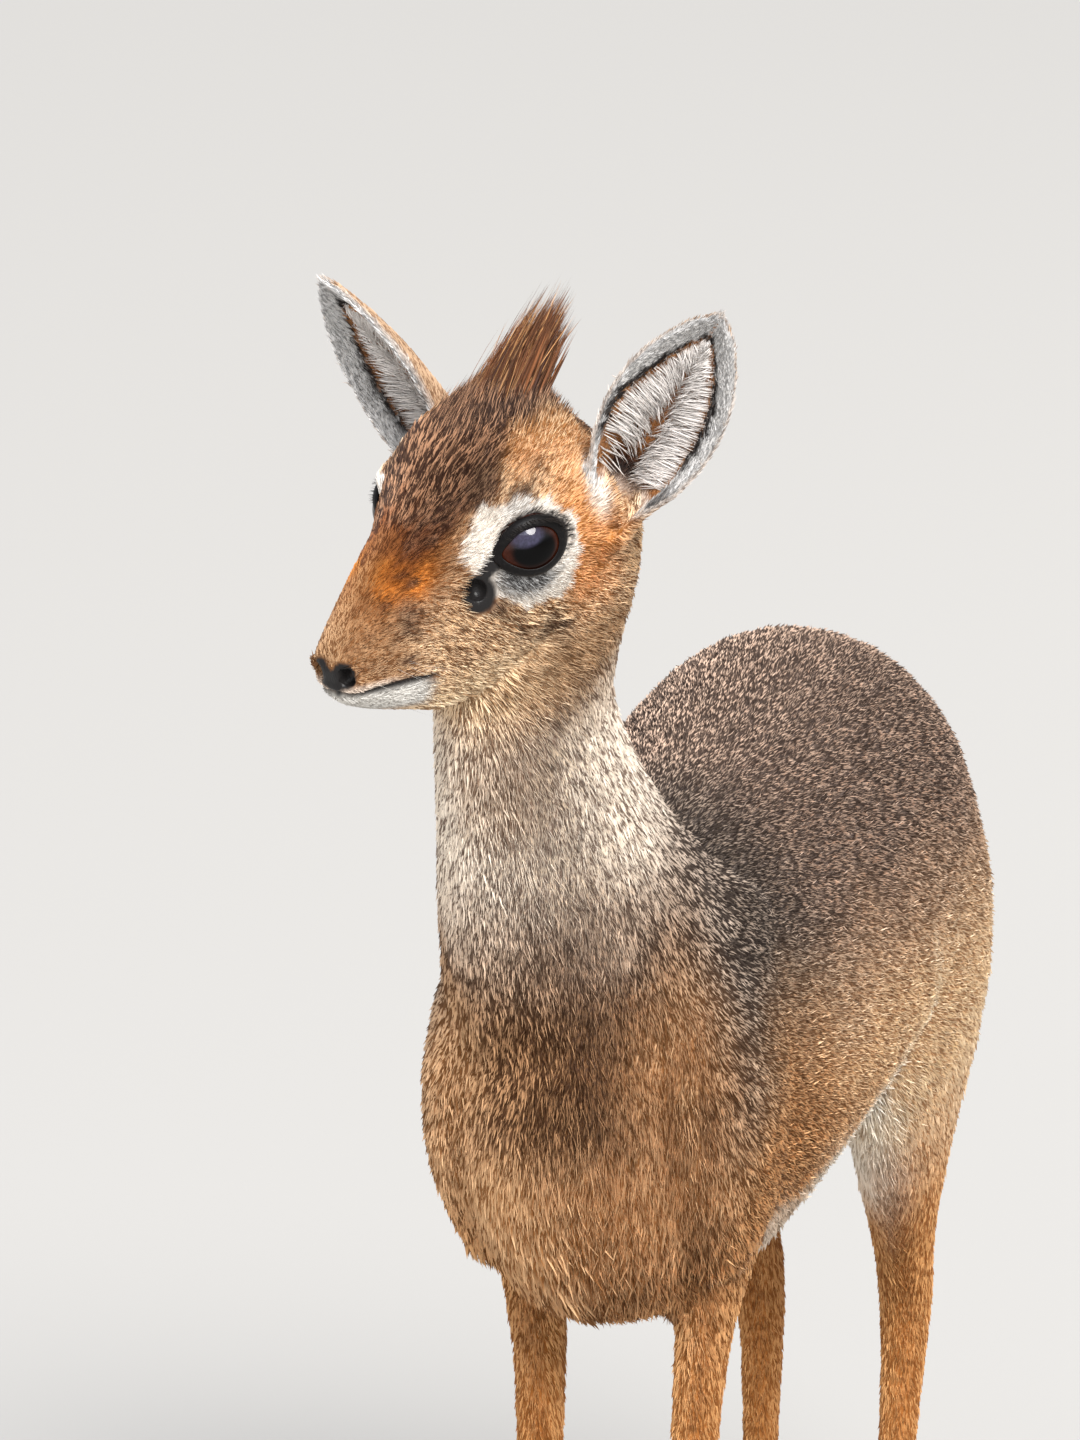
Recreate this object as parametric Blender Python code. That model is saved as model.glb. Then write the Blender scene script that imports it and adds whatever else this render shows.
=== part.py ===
"""A life-size female dik dik, standing alert with its head turned to its own right.

Metres, +Z up. The animal faces -Y and its left side is +X. Sizes include the lie of the coat.
The flesh is lofted, fused and smoothed whole, then parted into named pieces by thin cuts.
"""

import math
import random

import bmesh
import bpy
import numpy as np
from mathutils import Matrix, Vector

# Space between neighbours that touch, and the width of the cuts that part the body
GAP = 0.0003
SEAM = 0.0004

# The head's pose: where the point midway between the eyes is, and how the head is turned
EYES_MIDDLE = Vector((-0.018, -0.196, 0.486))
HEAD_TURN = math.radians(30)
HEAD_NOD = math.radians(17)
HEAD_ROLL = math.radians(2)

# Sizes of the head, in its own frame: x to its left, y backwards, z up, from between the eyes
EYE_RADIUS = 0.0122
EYE_CENTRE = Vector((0.0245, -0.0005, 0.0005))
EYE_OUTWARD = math.radians(64)
EYE_UPWARD = math.radians(7)
LID_OPENING = (0.0106, 0.0087)
LID_SLANT = math.radians(2)
NOSTRIL = Vector((0.0062, -0.0668, -0.0200))
NOSTRIL_RADII = (0.0021, 0.0058, 0.0036)
NOSTRIL_SLANT = math.radians(28)
GLAND = Vector((0.0219, -0.0206, -0.0080))
GLAND_RADII = (0.0030, 0.0028, 0.0034)

# Sizes of the ears, crest and feet
EAR_LENGTH = 0.0765
EAR_HALF_WIDTH = 0.0180
EAR_WALL = 0.0022
EAR_BOW = 0.002
CLAW_LENGTH = 0.024
CLAW_WIDTH = 0.0079
CLAW_HEIGHT = 0.0150
CLAW_CLEFT = 0.0012

# Grain of the fused flesh and the triangles that it keeps
BODY_VOXEL = 0.0026
HEAD_VOXEL = 0.0013
BODY_TRIANGLES = 4200
HEAD_TRIANGLES = 3200

RING_POINTS = 28


def clear_scene():
    for obj in list(bpy.data.objects):
        bpy.data.objects.remove(obj, do_unlink=True)


def material(name, colour, roughness=0.85, metallic=0.0):
    mat = bpy.data.materials.new(name)
    mat.use_nodes = True
    shader = mat.node_tree.nodes["Principled BSDF"]
    shader.inputs["Base Color"].default_value = (*colour, 1.0)
    shader.inputs["Roughness"].default_value = roughness
    shader.inputs["Metallic"].default_value = metallic
    return mat


def add_object(name, mesh):
    obj = bpy.data.objects.new(name, mesh)
    bpy.context.scene.collection.objects.link(obj)
    return obj


def remove(*objects):
    for obj in objects:
        bpy.data.objects.remove(obj, do_unlink=True)


def smooth_table(stations, at):
    """Columns of a station table read at the places `at`, on a curve through every station."""
    table = np.array(stations, float)
    key, columns = table[:, 0], table[:, 1:]
    slope = np.gradient(columns, key, axis=0)
    i = np.clip(np.searchsorted(key, at) - 1, 0, len(key) - 2)
    step = (key[i + 1] - key[i])[:, None]
    t = ((at - key[i]) / step[:, 0])[:, None]
    low, high = columns[i], columns[i + 1]
    return (
        (2 * t**3 - 3 * t**2 + 1) * low
        + (t**3 - 2 * t**2 + t) * step * slope[i]
        + (3 * t**2 - 2 * t**3) * high
        + (t**3 - t**2) * step * slope[i + 1]
    )


def loft(name, rings):
    """One closed body through rings of equal counts, each a list of points; the ends are capped."""
    bm = bmesh.new()
    rows = [[bm.verts.new(p) for p in ring] for ring in rings]
    for a, b in zip(rows, rows[1:]):
        for i in range(len(a)):
            j = (i + 1) % len(a)
            bm.faces.new((a[i], a[j], b[j], b[i]))
    bm.faces.new(rows[0])
    bm.faces.new(list(reversed(rows[-1])))
    bmesh.ops.recalc_face_normals(bm, faces=bm.faces)
    mesh = bpy.data.meshes.new(name)
    bm.to_mesh(mesh)
    bm.free()
    return add_object(name, mesh)


def section(width, up, down, power_up, power_down, count=RING_POINTS):
    """Points (x, z) of a rounded section: its widest line is at z = 0."""
    points = []
    for k in range(count):
        angle = 2 * math.pi * (k + 0.5) / count
        c, s = math.cos(angle), math.sin(angle)
        power = power_up if s > 0 else power_down
        x = width * math.copysign(abs(c) ** (2 / power), c)
        z = (up if s > 0 else down) * math.copysign(abs(s) ** (2 / power), s)
        points.append((x, z))
    return points


def lengthwise_loft(name, stations, rows):
    """A loft along y. Each station is y, top, widest height, bottom, half width, upper and lower power."""
    at = np.linspace(stations[0][0], stations[-1][0], rows)
    rings = []
    for y, values in zip(at, smooth_table(stations, at)):
        top, middle, bottom, width, power_up, power_down = values
        points = section(width, top - middle, middle - bottom, power_up, power_down)
        rings.append([Vector((x, y, middle + z)) for x, z in points])
    return loft(name, rings)


def limb(name, stations, rows, side=1, stride=0.0, power=2.2):
    """A loft down a limb. Each station is its place (x, y, z) and its half sizes across and along the body."""
    key = np.arange(len(stations), dtype=float)
    table = [(k, *s) for k, s in zip(key, stations)]
    at = np.linspace(0, key[-1], rows)
    values = smooth_table(table, at)
    values[:, 1] += stride * np.clip(1 - values[:, 2] / stations[0][2], 0, 1)
    places = [Vector(v[:3]) for v in values]
    rings = []
    for k, (place, value) in enumerate(zip(places, values)):
        ahead = places[min(k + 1, rows - 1)] - places[max(k - 1, 0)]
        across = Vector((1, 0, 0))
        along = ahead.cross(across).normalized()
        across = along.cross(ahead).normalized()
        ring = []
        for a, b in section(value[3], value[4], value[4], power, power, 20):
            p = place + across * a + along * b
            ring.append(Vector((p.x * side, p.y, p.z)))
        rings.append(ring)
    return loft(name, rings)


def outward(obj):
    """Turns every face of a closed mesh outward."""
    bm = bmesh.new()
    bm.from_mesh(obj.data)
    bmesh.ops.recalc_face_normals(bm, faces=bm.faces)
    if bm.calc_volume(signed=True) < 0:
        bmesh.ops.reverse_faces(bm, faces=bm.faces)
    bm.to_mesh(obj.data)
    bm.free()
    return obj


def bake(obj):
    """The object with its modifiers applied and its place in its mesh."""
    bpy.context.view_layer.update()
    graph = bpy.context.evaluated_depsgraph_get()
    mesh = bpy.data.meshes.new_from_object(obj.evaluated_get(graph))
    mesh.transform(obj.matrix_world)
    name = obj.name
    remove(obj)
    baked = add_object(name, mesh)
    baked.name = name
    return baked


def join(name, objects):
    bm = bmesh.new()
    for obj in objects:
        copy = obj.data.copy()
        copy.transform(obj.matrix_world)
        bm.from_mesh(copy)
        bpy.data.meshes.remove(copy)
    mesh = bpy.data.meshes.new(name)
    bm.to_mesh(mesh)
    bm.free()
    remove(*objects)
    return add_object(name, mesh)


def fuse(name, objects, voxel, passes, triangles):
    """Overlapping closed lofts made one smooth body with about that many triangles."""
    obj = join(name, objects)
    remesh = obj.modifiers.new("fuse", "REMESH")
    remesh.mode = "VOXEL"
    remesh.voxel_size = voxel
    soften = obj.modifiers.new("soften", "SMOOTH")
    soften.factor = 0.5
    soften.iterations = passes
    obj = bake(obj)
    count = sum(len(p.vertices) - 2 for p in obj.data.polygons)
    fewer = obj.modifiers.new("fewer", "DECIMATE")
    fewer.ratio = triangles / count
    fewer.use_collapse_triangulate = True
    return bake(obj)


def boolean(obj, cutter, operation="DIFFERENCE", keep_cutter=False):
    modifier = obj.modifiers.new("cut", "BOOLEAN")
    modifier.operation = operation
    modifier.object = cutter
    obj = bake(obj)
    if not keep_cutter:
        remove(cutter)
    return obj


def unite(name, objects, solver="EXACT"):
    """One Boolean union on a collection of closed meshes, applied; the pieces are then removed."""
    first, others = objects[0], objects[1:]
    group = bpy.data.collections.new(name + "_pieces")
    bpy.context.scene.collection.children.link(group)
    for obj in others:
        for home in obj.users_collection:
            home.objects.unlink(obj)
        group.objects.link(obj)
    modifier = first.modifiers.new("unite", "BOOLEAN")
    modifier.operation = "UNION"
    modifier.operand_type = "COLLECTION"
    modifier.collection = group
    modifier.solver = solver
    whole = bake(first)
    remove(*others)
    bpy.data.collections.remove(group)
    whole.name = name
    return whole


def loose_parts(obj):
    """The closed surfaces of an object as meshes, largest first."""
    mesh = obj.data
    count = len(mesh.vertices)
    edges = np.empty(2 * len(mesh.edges), int)
    mesh.edges.foreach_get("vertices", edges)
    a, b = edges.reshape(-1, 2).T
    label = np.arange(count)
    while True:
        lowest = np.minimum(label[a], label[b])
        before = label.copy()
        np.minimum.at(label, a, lowest)
        np.minimum.at(label, b, lowest)
        label = label[label]
        if np.array_equal(before, label):
            break
    points = np.array([v.co for v in mesh.vertices])
    faces = [tuple(p.vertices) for p in mesh.polygons]
    groups = {}
    for face in faces:
        groups.setdefault(label[face[0]], []).append(face)
    meshes = []
    for group in sorted(groups.values(), key=len, reverse=True):
        used = sorted({v for face in group for v in face})
        index = {v: i for i, v in enumerate(used)}
        piece = bpy.data.meshes.new("piece")
        piece.from_pydata(points[used].tolist(), [], [[index[v] for v in face] for face in group])
        piece.update()
        meshes.append(piece)
    return meshes


def keep_largest(obj):
    name = obj.name
    mesh = loose_parts(obj)[0]
    remove(obj)
    kept = add_object(name, mesh)
    kept.name = name
    return kept


def slab(place, normal, half_size, thickness=SEAM):
    """A thin oblong cutter across a limb; its half sizes are sideways and lengthwise."""
    bpy.ops.mesh.primitive_cube_add(size=1)
    obj = bpy.context.object
    through = Vector(normal).normalized()
    lengthwise = through.cross(Vector((1, 0, 0))).normalized()
    sideways = lengthwise.cross(through)
    turn = Matrix((sideways, lengthwise, through)).transposed().to_4x4()
    size = Matrix.Diagonal((2 * half_size[0], 2 * half_size[1], thickness, 1))
    obj.data.transform(Matrix.Translation(place) @ turn @ size)
    return obj


def inflated(obj, amount):
    """A copy whose surface stands out by that amount, to cut a neighbour clear of it."""
    copy = add_object(obj.name + "_cutter", obj.data.copy())
    swell = copy.modifiers.new("swell", "DISPLACE")
    swell.strength = amount
    swell.mid_level = 0
    return bake(copy)


# Body

TORSO = [
    # y, top, widest, bottom, half width, upper power, lower power
    (-0.164, 0.305, 0.285, 0.264, 0.014, 2.0, 2.0),
    (-0.152, 0.332, 0.284, 0.240, 0.030, 2.0, 2.0),
    (-0.130, 0.354, 0.283, 0.219, 0.045, 2.0, 2.0),
    (-0.100, 0.368, 0.282, 0.209, 0.0525, 1.9, 2.0),
    (-0.060, 0.376, 0.281, 0.209, 0.0570, 1.9, 2.1),
    (-0.010, 0.378, 0.284, 0.217, 0.0610, 2.0, 2.1),
    (0.035, 0.382, 0.290, 0.228, 0.0640, 2.1, 2.1),
    (0.078, 0.387, 0.296, 0.238, 0.0645, 2.1, 2.1),
    (0.112, 0.387, 0.301, 0.246, 0.0620, 2.1, 2.0),
    (0.145, 0.376, 0.303, 0.251, 0.056, 2.1, 2.0),
    (0.168, 0.358, 0.303, 0.259, 0.043, 2.1, 2.0),
    (0.180, 0.341, 0.303, 0.268, 0.029, 2.0, 2.0),
    (0.186, 0.325, 0.303, 0.281, 0.015, 2.0, 2.0),
]

NECK = [
    # place, half width, half depth
    (0.0, -0.050, 0.262, 0.036, 0.060),
    (0.0, -0.088, 0.295, 0.045, 0.062),
    (-0.002, -0.116, 0.330, 0.0475, 0.052),
    (-0.006, -0.138, 0.362, 0.0395, 0.043),
    (-0.009, -0.154, 0.394, 0.0315, 0.037),
    (-0.0105, -0.164, 0.424, 0.0275, 0.034),
    (-0.0070, -0.167, 0.452, 0.0295, 0.0290),
    (-0.0025, -0.167, 0.476, 0.0300, 0.0230),
    (0.0000, -0.168, 0.492, 0.0265, 0.0165),
    (0.0000, -0.169, 0.500, 0.0150, 0.0090),
]

FORELEG = [
    (0.028, -0.080, 0.345, 0.016, 0.036),
    (0.0385, -0.106, 0.295, 0.0180, 0.043),
    (0.0380, -0.098, 0.258, 0.0158, 0.036),
    (0.0325, -0.088, 0.236, 0.0126, 0.0265),
    (0.0288, -0.090, 0.212, 0.0095, 0.0168),
    (0.0268, -0.093, 0.186, 0.0080, 0.0122),
    (0.0262, -0.097, 0.155, 0.0075, 0.0097),
    (0.0260, -0.099, 0.124, 0.0086, 0.0102),
    (0.0255, -0.098, 0.092, 0.0064, 0.0080),
    (0.0250, -0.098, 0.058, 0.0062, 0.0078),
    (0.0250, -0.100, 0.038, 0.0082, 0.0102),
    (0.0250, -0.106, 0.024, 0.0074, 0.0092),
    (0.0250, -0.111, 0.008, 0.0080, 0.0112),
]

HINDLEG = [
    (0.026, 0.108, 0.348, 0.022, 0.048),
    (0.037, 0.107, 0.308, 0.025, 0.062),
    (0.0405, 0.111, 0.268, 0.0228, 0.060),
    (0.0385, 0.118, 0.232, 0.0180, 0.0455),
    (0.0345, 0.130, 0.200, 0.0130, 0.0285),
    (0.0305, 0.144, 0.172, 0.0098, 0.0162),
    (0.0285, 0.154, 0.150, 0.0090, 0.0128),
    (0.0275, 0.154, 0.124, 0.0076, 0.0102),
    (0.0270, 0.147, 0.088, 0.0066, 0.0082),
    (0.0265, 0.140, 0.054, 0.0064, 0.0080),
    (0.0265, 0.136, 0.037, 0.0083, 0.0104),
    (0.0265, 0.129, 0.024, 0.0074, 0.0092),
    (0.0265, 0.124, 0.008, 0.0080, 0.0112),
]

# How far each foot is set back from where its leg's stations put it
STRIDES = {
    "foreleg_left": -0.005,
    "foreleg_right": 0.007,
    "hindleg_left": 0.000,
    "hindleg_right": 0.034,
}

TAIL = [
    (0.0, 0.152, 0.344, 0.0200, 0.0175),
    (0.0, 0.176, 0.338, 0.0160, 0.0130),
    (0.0, 0.1925, 0.327, 0.0130, 0.0098),
    (0.0, 0.2015, 0.311, 0.0105, 0.0068),
    (0.0, 0.2045, 0.296, 0.0050, 0.0036),
]

# Head, in its own frame

SKULL = [
    # y, top, widest, bottom, half width, upper power, lower power
    (-0.0668, -0.0172, -0.0210, -0.0248, 0.0044, 2.0, 2.0),
    (-0.0650, -0.0128, -0.0212, -0.0290, 0.0084, 2.1, 2.2),
    (-0.0600, -0.0074, -0.0212, -0.0336, 0.0116, 2.1, 2.3),
    (-0.0530, -0.0012, -0.0206, -0.0376, 0.0136, 2.0, 2.3),
    (-0.0430, 0.0072, -0.0190, -0.0424, 0.0158, 1.9, 2.2),
    (-0.0300, 0.0162, -0.0140, -0.0472, 0.0182, 1.8, 2.0),
    (-0.0170, 0.0246, -0.0070, -0.0488, 0.0244, 2.0, 1.9),
    (-0.0040, 0.0308, -0.0020, -0.0482, 0.0316, 2.2, 1.8),
    (0.0100, 0.0342, -0.0010, -0.0462, 0.0340, 2.2, 1.8),
    (0.0250, 0.0318, -0.0030, -0.0420, 0.0322, 2.1, 1.9),
    (0.0390, 0.0232, -0.0050, -0.0330, 0.0265, 2.0, 2.0),
    (0.0480, 0.0130, -0.0060, -0.0230, 0.0175, 2.0, 2.0),
    (0.0520, 0.0035, -0.0062, -0.0150, 0.0080, 2.0, 2.0),
]


def head_matrix():
    turn = Matrix.Rotation(-HEAD_TURN, 4, "Z")
    nod = Matrix.Rotation(HEAD_NOD, 4, "X")
    roll = Matrix.Rotation(HEAD_ROLL, 4, "Y")
    return Matrix.Translation(EYES_MIDDLE) @ turn @ nod @ roll


def ball(name, place, radii, turn=None, segments=24, rings=16):
    bpy.ops.mesh.primitive_uv_sphere_add(segments=segments, ring_count=rings, radius=1)
    obj = bpy.context.object
    obj.name = name
    size = Matrix.Diagonal((*radii, 1))
    turned = turn.to_4x4() if turn else Matrix.Identity(4)
    obj.data.transform(Matrix.Translation(place) @ turned @ size)
    return obj


def eye_frame(side):
    """Where one eye is in the head's frame, and its axes: z looks out, x runs to its back corner."""
    centre = Vector((side * EYE_CENTRE.x, EYE_CENTRE.y, EYE_CENTRE.z))
    flat = Vector((side * math.sin(EYE_OUTWARD), -math.cos(EYE_OUTWARD), 0))
    look = (flat * math.cos(EYE_UPWARD) + Vector((0, 0, math.sin(EYE_UPWARD)))).normalized()
    back = Vector((0, 0, 1)).cross(look).normalized() * side
    up = look.cross(back).normalized() * side
    slanted = back * math.cos(LID_SLANT) + up * math.sin(LID_SLANT)
    upright = up * math.cos(LID_SLANT) - back * math.sin(LID_SLANT)
    return centre, slanted, upright, look


def almond(side, grow=0.0, count=20):
    """The lids' opening as points of the eye's frame: a rounded almond with a drawn-out front corner."""
    wide, high = LID_OPENING
    points = []
    for k in range(count):
        angle = 2 * math.pi * k / count
        c, s = math.cos(angle), math.sin(angle)
        front = max(0.0, -c) ** 3
        a = (wide + grow) * c * (1 + 0.14 * front)
        b = (high + grow) * math.copysign(abs(s) ** 0.95, s) * (1 - 0.25 * front)
        points.append((a, b))
    return points


def lid_cutter(side):
    """A prism of the lids' opening, from inside the eyeball to clear of the face."""
    centre, back, up, look = eye_frame(side)
    near = [centre + back * a + up * b + look * 0.004 for a, b in almond(side)]
    far = [centre + back * a * 1.12 + up * b * 1.12 + look * 0.024 for a, b in almond(side)]
    return loft("lid_cutter", [near, far])


def lid_ring(side):
    """The swelling of both lids round the opening."""
    centre, back, up, look = eye_frame(side)
    rings = []
    outline = almond(side, grow=0.0022, count=24)
    for a, b in outline:
        spread = math.hypot(a, b)
        lift = math.sqrt(max(EYE_RADIUS**2 - spread**2, 0.0)) if spread < EYE_RADIUS else 0.0
        middle = centre + back * a + up * b + look * max(lift, 0.0045)
        out = (back * a + up * b).normalized()
        ring = []
        for k in range(8):
            angle = 2 * math.pi * k / 8
            ring.append(middle + out * 0.0026 * math.cos(angle) + look * 0.0024 * math.sin(angle))
        rings.append(ring)
    bm = bmesh.new()
    rows = [[bm.verts.new(p) for p in ring] for ring in rings]
    for a, b in zip(rows, rows[1:] + rows[:1]):
        for i in range(8):
            j = (i + 1) % 8
            bm.faces.new((a[i], a[j], b[j], b[i]))
    bmesh.ops.recalc_face_normals(bm, faces=bm.faces)
    mesh = bpy.data.meshes.new("lid_ring")
    bm.to_mesh(mesh)
    bm.free()
    return add_object("lid_ring", mesh)


def head_lofts():
    skull = lengthwise_loft("skull", SKULL, 60)
    pieces = [skull]
    for side in (-1, 1):
        brow = Vector((side * 0.0225, 0.002, 0.0135))
        pieces.append(ball("brow", brow, (0.0085, 0.0150, 0.0070)))
        cheek = Vector((side * 0.0165, 0.014, -0.0215))
        pieces.append(ball("cheek", cheek, (0.0120, 0.0220, 0.0160)))
        pieces.append(lid_ring(side))
        nostril = Vector((side * 0.0058, -0.0622, -0.0184))
        pieces.append(ball("nostril_wing", nostril, (0.0046, 0.0050, 0.0052)))
    pieces += [lip(0.0017, 0.0026), lip(-0.0018, 0.0024)]
    for piece in pieces:
        piece.data.transform(head_matrix())
    return pieces


def neck_loft():
    return limb("neck_flesh", NECK, 26, power=2.1)


MOUTH_CORNER = (0.0152, -0.0365, -0.0308)
MOUTH_FRONT = (0.0000, -0.0715, -0.0264)
MOUTH_POINTS = 17


def mouth_line():
    """Points just outside the lips' line, from the right corner round the front to the left one."""
    points = []
    for k in range(MOUTH_POINTS):
        t = -1 + 2 * k / (MOUTH_POINTS - 1)
        x = MOUTH_CORNER[0] * math.copysign(abs(t) ** 0.8, t)
        y = MOUTH_FRONT[1] + (MOUTH_CORNER[1] - MOUTH_FRONT[1]) * abs(t) ** 1.6
        z = MOUTH_FRONT[2] + (MOUTH_CORNER[2] - MOUTH_FRONT[2]) * abs(t)
        points.append((x, y, z))
    return points


def lip(lift, radius):
    """The roll of one lip beside the line of the mouth, thinner toward both corners."""
    rings = []
    line = [Vector((x * 0.72, y + 0.0082, z + lift)) for x, y, z in mouth_line()[1:-1]]
    for k, middle in enumerate(line):
        ahead = line[min(k + 1, len(line) - 1)] - line[max(k - 1, 0)]
        out = ahead.cross(Vector((0, 0, 1))).normalized()
        end = abs(2 * k / (len(line) - 1) - 1)
        size = radius * (1 - 0.55 * end**2)
        ring = []
        for j in range(8):
            angle = 2 * math.pi * j / 8
            ring.append(middle + out * size * math.cos(angle) + Vector((0, 0, size * math.sin(angle))))
        rings.append(ring)
    return loft("lip", rings)


def mouth_cutter():
    """A thin curved blade along the line of the lips, from one corner round the front to the other."""
    rings = []
    for x, y, z in mouth_line():
        inner = Vector((x * 0.45, y + 0.0105, z))
        outer = Vector((x * 1.5, y - 0.004, z))
        thick = Vector((0, 0, 0.00045))
        rings.append([inner - thick, outer - thick, outer + thick, inner + thick])
    cutter = loft("mouth_cutter", rings)
    cutter.data.transform(head_matrix())
    return cutter


def make_head():
    """The fused head and upper neck, and a copy with sockets, nostrils, mouth line and gland pits cut in."""
    plain = fuse("face", head_lofts() + [neck_loft()], HEAD_VOXEL, 6, HEAD_TRIANGLES)
    head = add_object("head", plain.data.copy())
    place = head_matrix()
    for side in (-1, 1):
        centre, back, up, look = eye_frame(side)
        socket = ball("socket", centre, [EYE_RADIUS + GAP] * 3, segments=28, rings=18)
        nostril_turn = Matrix.Rotation(-side * NOSTRIL_SLANT, 3, "Y")
        nostril = Vector((side * NOSTRIL.x, NOSTRIL.y, NOSTRIL.z))
        gland = Vector((side * GLAND.x, GLAND.y, GLAND.z))
        cutters = [
            socket,
            lid_cutter(side),
            ball("nostril", nostril, NOSTRIL_RADII, nostril_turn, 12, 8),
            ball("gland", gland, GLAND_RADII, None, 12, 8),
        ]
        for cutter in cutters:
            cutter.data.transform(place)
            head = boolean(head, cutter)
    head = boolean(head, mouth_cutter())
    return keep_largest(head), plain


def make_eye(side):
    centre, back, up, look = eye_frame(side)
    bpy.ops.mesh.primitive_uv_sphere_add(segments=20, ring_count=12, radius=EYE_RADIUS)
    obj = bpy.context.object
    obj.name = "eye_left" if side > 0 else "eye_right"
    turn = Matrix((back, up, look)).transposed()
    if turn.determinant() < 0:
        turn = Matrix((-back, up, look)).transposed()
    obj.data.transform(head_matrix() @ Matrix.Translation(centre) @ turn.to_4x4())
    obj.data.shade_smooth()
    return obj


# Ears

EAR_SHAPE = [
    # along the ear: half width share, arc of the cup in degrees
    (-0.16, 0.40, 296),
    (-0.06, 0.44, 282),
    (0.04, 0.50, 258),
    (0.14, 0.66, 222),
    (0.26, 0.84, 184),
    (0.38, 0.96, 152),
    (0.50, 1.00, 130),
    (0.60, 0.97, 118),
    (0.72, 0.84, 106),
    (0.82, 0.66, 96),
    (0.90, 0.46, 88),
    (0.96, 0.27, 80),
    (1.00, 0.06, 76),
]

EARS = {
    # root, tip direction and facing of the cup, in the head's frame
    "ear_left": ((0.0290, 0.0335, -0.0030), (0.494, 0.345, 0.798), (0.704, -0.556, 0.441)),
    "ear_right": ((-0.0315, 0.0275, -0.0050), (-0.425, -0.096, 0.900), (-0.25, -0.89, 0.38)),
}


def ear_sheet(name, rows=19, columns=13):
    """The cupped leaf of an ear: each cross line is an arc, nearly shut at the root and open at the tip."""
    root, tip, facing = (Vector(v) for v in EARS[name])
    axis = tip.normalized()
    across = axis.cross(facing).normalized()
    face = across.cross(axis).normalized()
    bm = bmesh.new()
    grid = []
    along = np.linspace(EAR_SHAPE[0][0], 1, rows)
    for t, (share, arc) in zip(along, smooth_table(EAR_SHAPE, along)):
        half = EAR_HALF_WIDTH * max(share, 0.04)
        half_arc = math.radians(arc) / 2
        radius = half / math.sin(min(half_arc, math.pi / 2))
        lean = face * (-EAR_BOW * math.sin(math.pi * max(t, 0)) + 2 * EAR_BOW * t)
        row = []
        for s in np.linspace(-1, 1, columns):
            angle = s * half_arc
            cup = radius * (1 - math.cos(angle)) - radius * (1 - math.cos(half_arc)) * 0.5
            p = root + axis * EAR_LENGTH * t + across * radius * math.sin(angle) + face * cup + lean
            row.append(bm.verts.new(p))
        grid.append(row)
    for a, b in zip(grid, grid[1:]):
        for i in range(columns - 1):
            bm.faces.new((a[i], a[i + 1], b[i + 1], b[i]))
    bmesh.ops.recalc_face_normals(bm, faces=bm.faces)
    mesh = bpy.data.meshes.new(name)
    bm.to_mesh(mesh)
    bm.free()
    obj = add_object(name, mesh)
    wall = obj.modifiers.new("wall", "SOLIDIFY")
    wall.thickness = EAR_WALL
    wall.offset = 0
    wall.use_even_offset = False
    return obj


def make_ear(name, face):
    """The ear's leaf, cut off where its funnel meets the face."""
    leaf = outward(bake(ear_sheet(name)))
    leaf.data.transform(head_matrix())
    return keep_largest(boolean(leaf, face, keep_cutter=True))


# Crest

def lock(name, root, tip, bend, width, thick, columns=5):
    """One flat tapered lock: three-sided sections that bend and narrow to the tip."""
    rings = []
    axis = (tip - root).normalized()
    across = axis.cross(bend).normalized()
    for k in range(columns):
        t = k / (columns - 1)
        place = root.lerp(tip, t) + bend * (t * (1 - t)) * 0.9
        size = (1 - 0.88 * t**1.6)
        a = across * width * size
        b = bend.normalized() * thick * size
        rings.append([place - a, place - b * 0.6, place + a, place + b])
    return loft(name, rings)


CREST_BACK = Vector((0.0, 0.79, 0.613))
CREST_ROWS = (
    # place of a row's roots (y, z), how many locks, its half span and how long they are
    (-0.0010, 0.0295, 4, 0.0080, 0.0220),
    (0.0040, 0.0305, 5, 0.0110, 0.0300),
    (0.0095, 0.0315, 6, 0.0125, 0.0370),
    (0.0150, 0.0315, 6, 0.0125, 0.0410),
    (0.0205, 0.0305, 6, 0.0120, 0.0425),
    (0.0260, 0.0285, 5, 0.0100, 0.0385),
    (0.0310, 0.0255, 4, 0.0075, 0.0290),
)
CREST_TOP = Vector((0.0, 0.0515, 0.0555))


def make_crest(face):
    """The erect forelock: overlapping rows of flat locks, swept back and drawn together at the top."""
    draw = random.Random(5)
    turn = CREST_BACK.to_track_quat("Z", "Y").to_matrix()
    core = ball("core", Vector((0, 0.0205, 0.0310)), (0.0095, 0.0085, 0.0190), turn, 16, 10)
    pieces = [core]
    for y, z, count, span, length in CREST_ROWS:
        for k in range(count):
            across = -1 + 2 * (k + 0.5) / count + draw.uniform(-0.08, 0.08)
            root = Vector((across * span, y, z - 0.0045 * across**2))
            tip = root + CREST_BACK * length * (1 - 0.12 * across**2) * draw.uniform(0.86, 1.06)
            tip = tip.lerp(Vector((CREST_TOP.x, tip.y, tip.z)), 0.62)
            outward = Vector((across, -0.55, 0.80)).normalized()
            bend = outward * (0.0050 + 0.0020 * abs(across))
            pieces.append(lock("lock", root, tip, bend, 0.0031, 0.0013))
    crest = unite("crest", pieces)
    crest.data.transform(head_matrix())
    return keep_largest(boolean(crest, face, keep_cutter=True))


# Feet

CLAW_OUTLINE = [
    # across and along, as shares of the claw's width and length; the flat inner edge is first and last
    (0.0, -0.52), (0.16, -0.55), (0.40, -0.46), (0.66, -0.27), (0.88, -0.02),
    (1.00, 0.22), (0.97, 0.36), (0.80, 0.46), (0.45, 0.50), (0.0, 0.46),
]
CLAW_LEVELS = [
    # share of the height, size of the outline there, how far it is set back
    (0.0, 0.97, 0.0), (0.10, 1.0, 0.0002), (0.45, 0.96, 0.0022), (0.80, 0.90, 0.0046), (1.0, 0.86, 0.0058),
]


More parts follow.
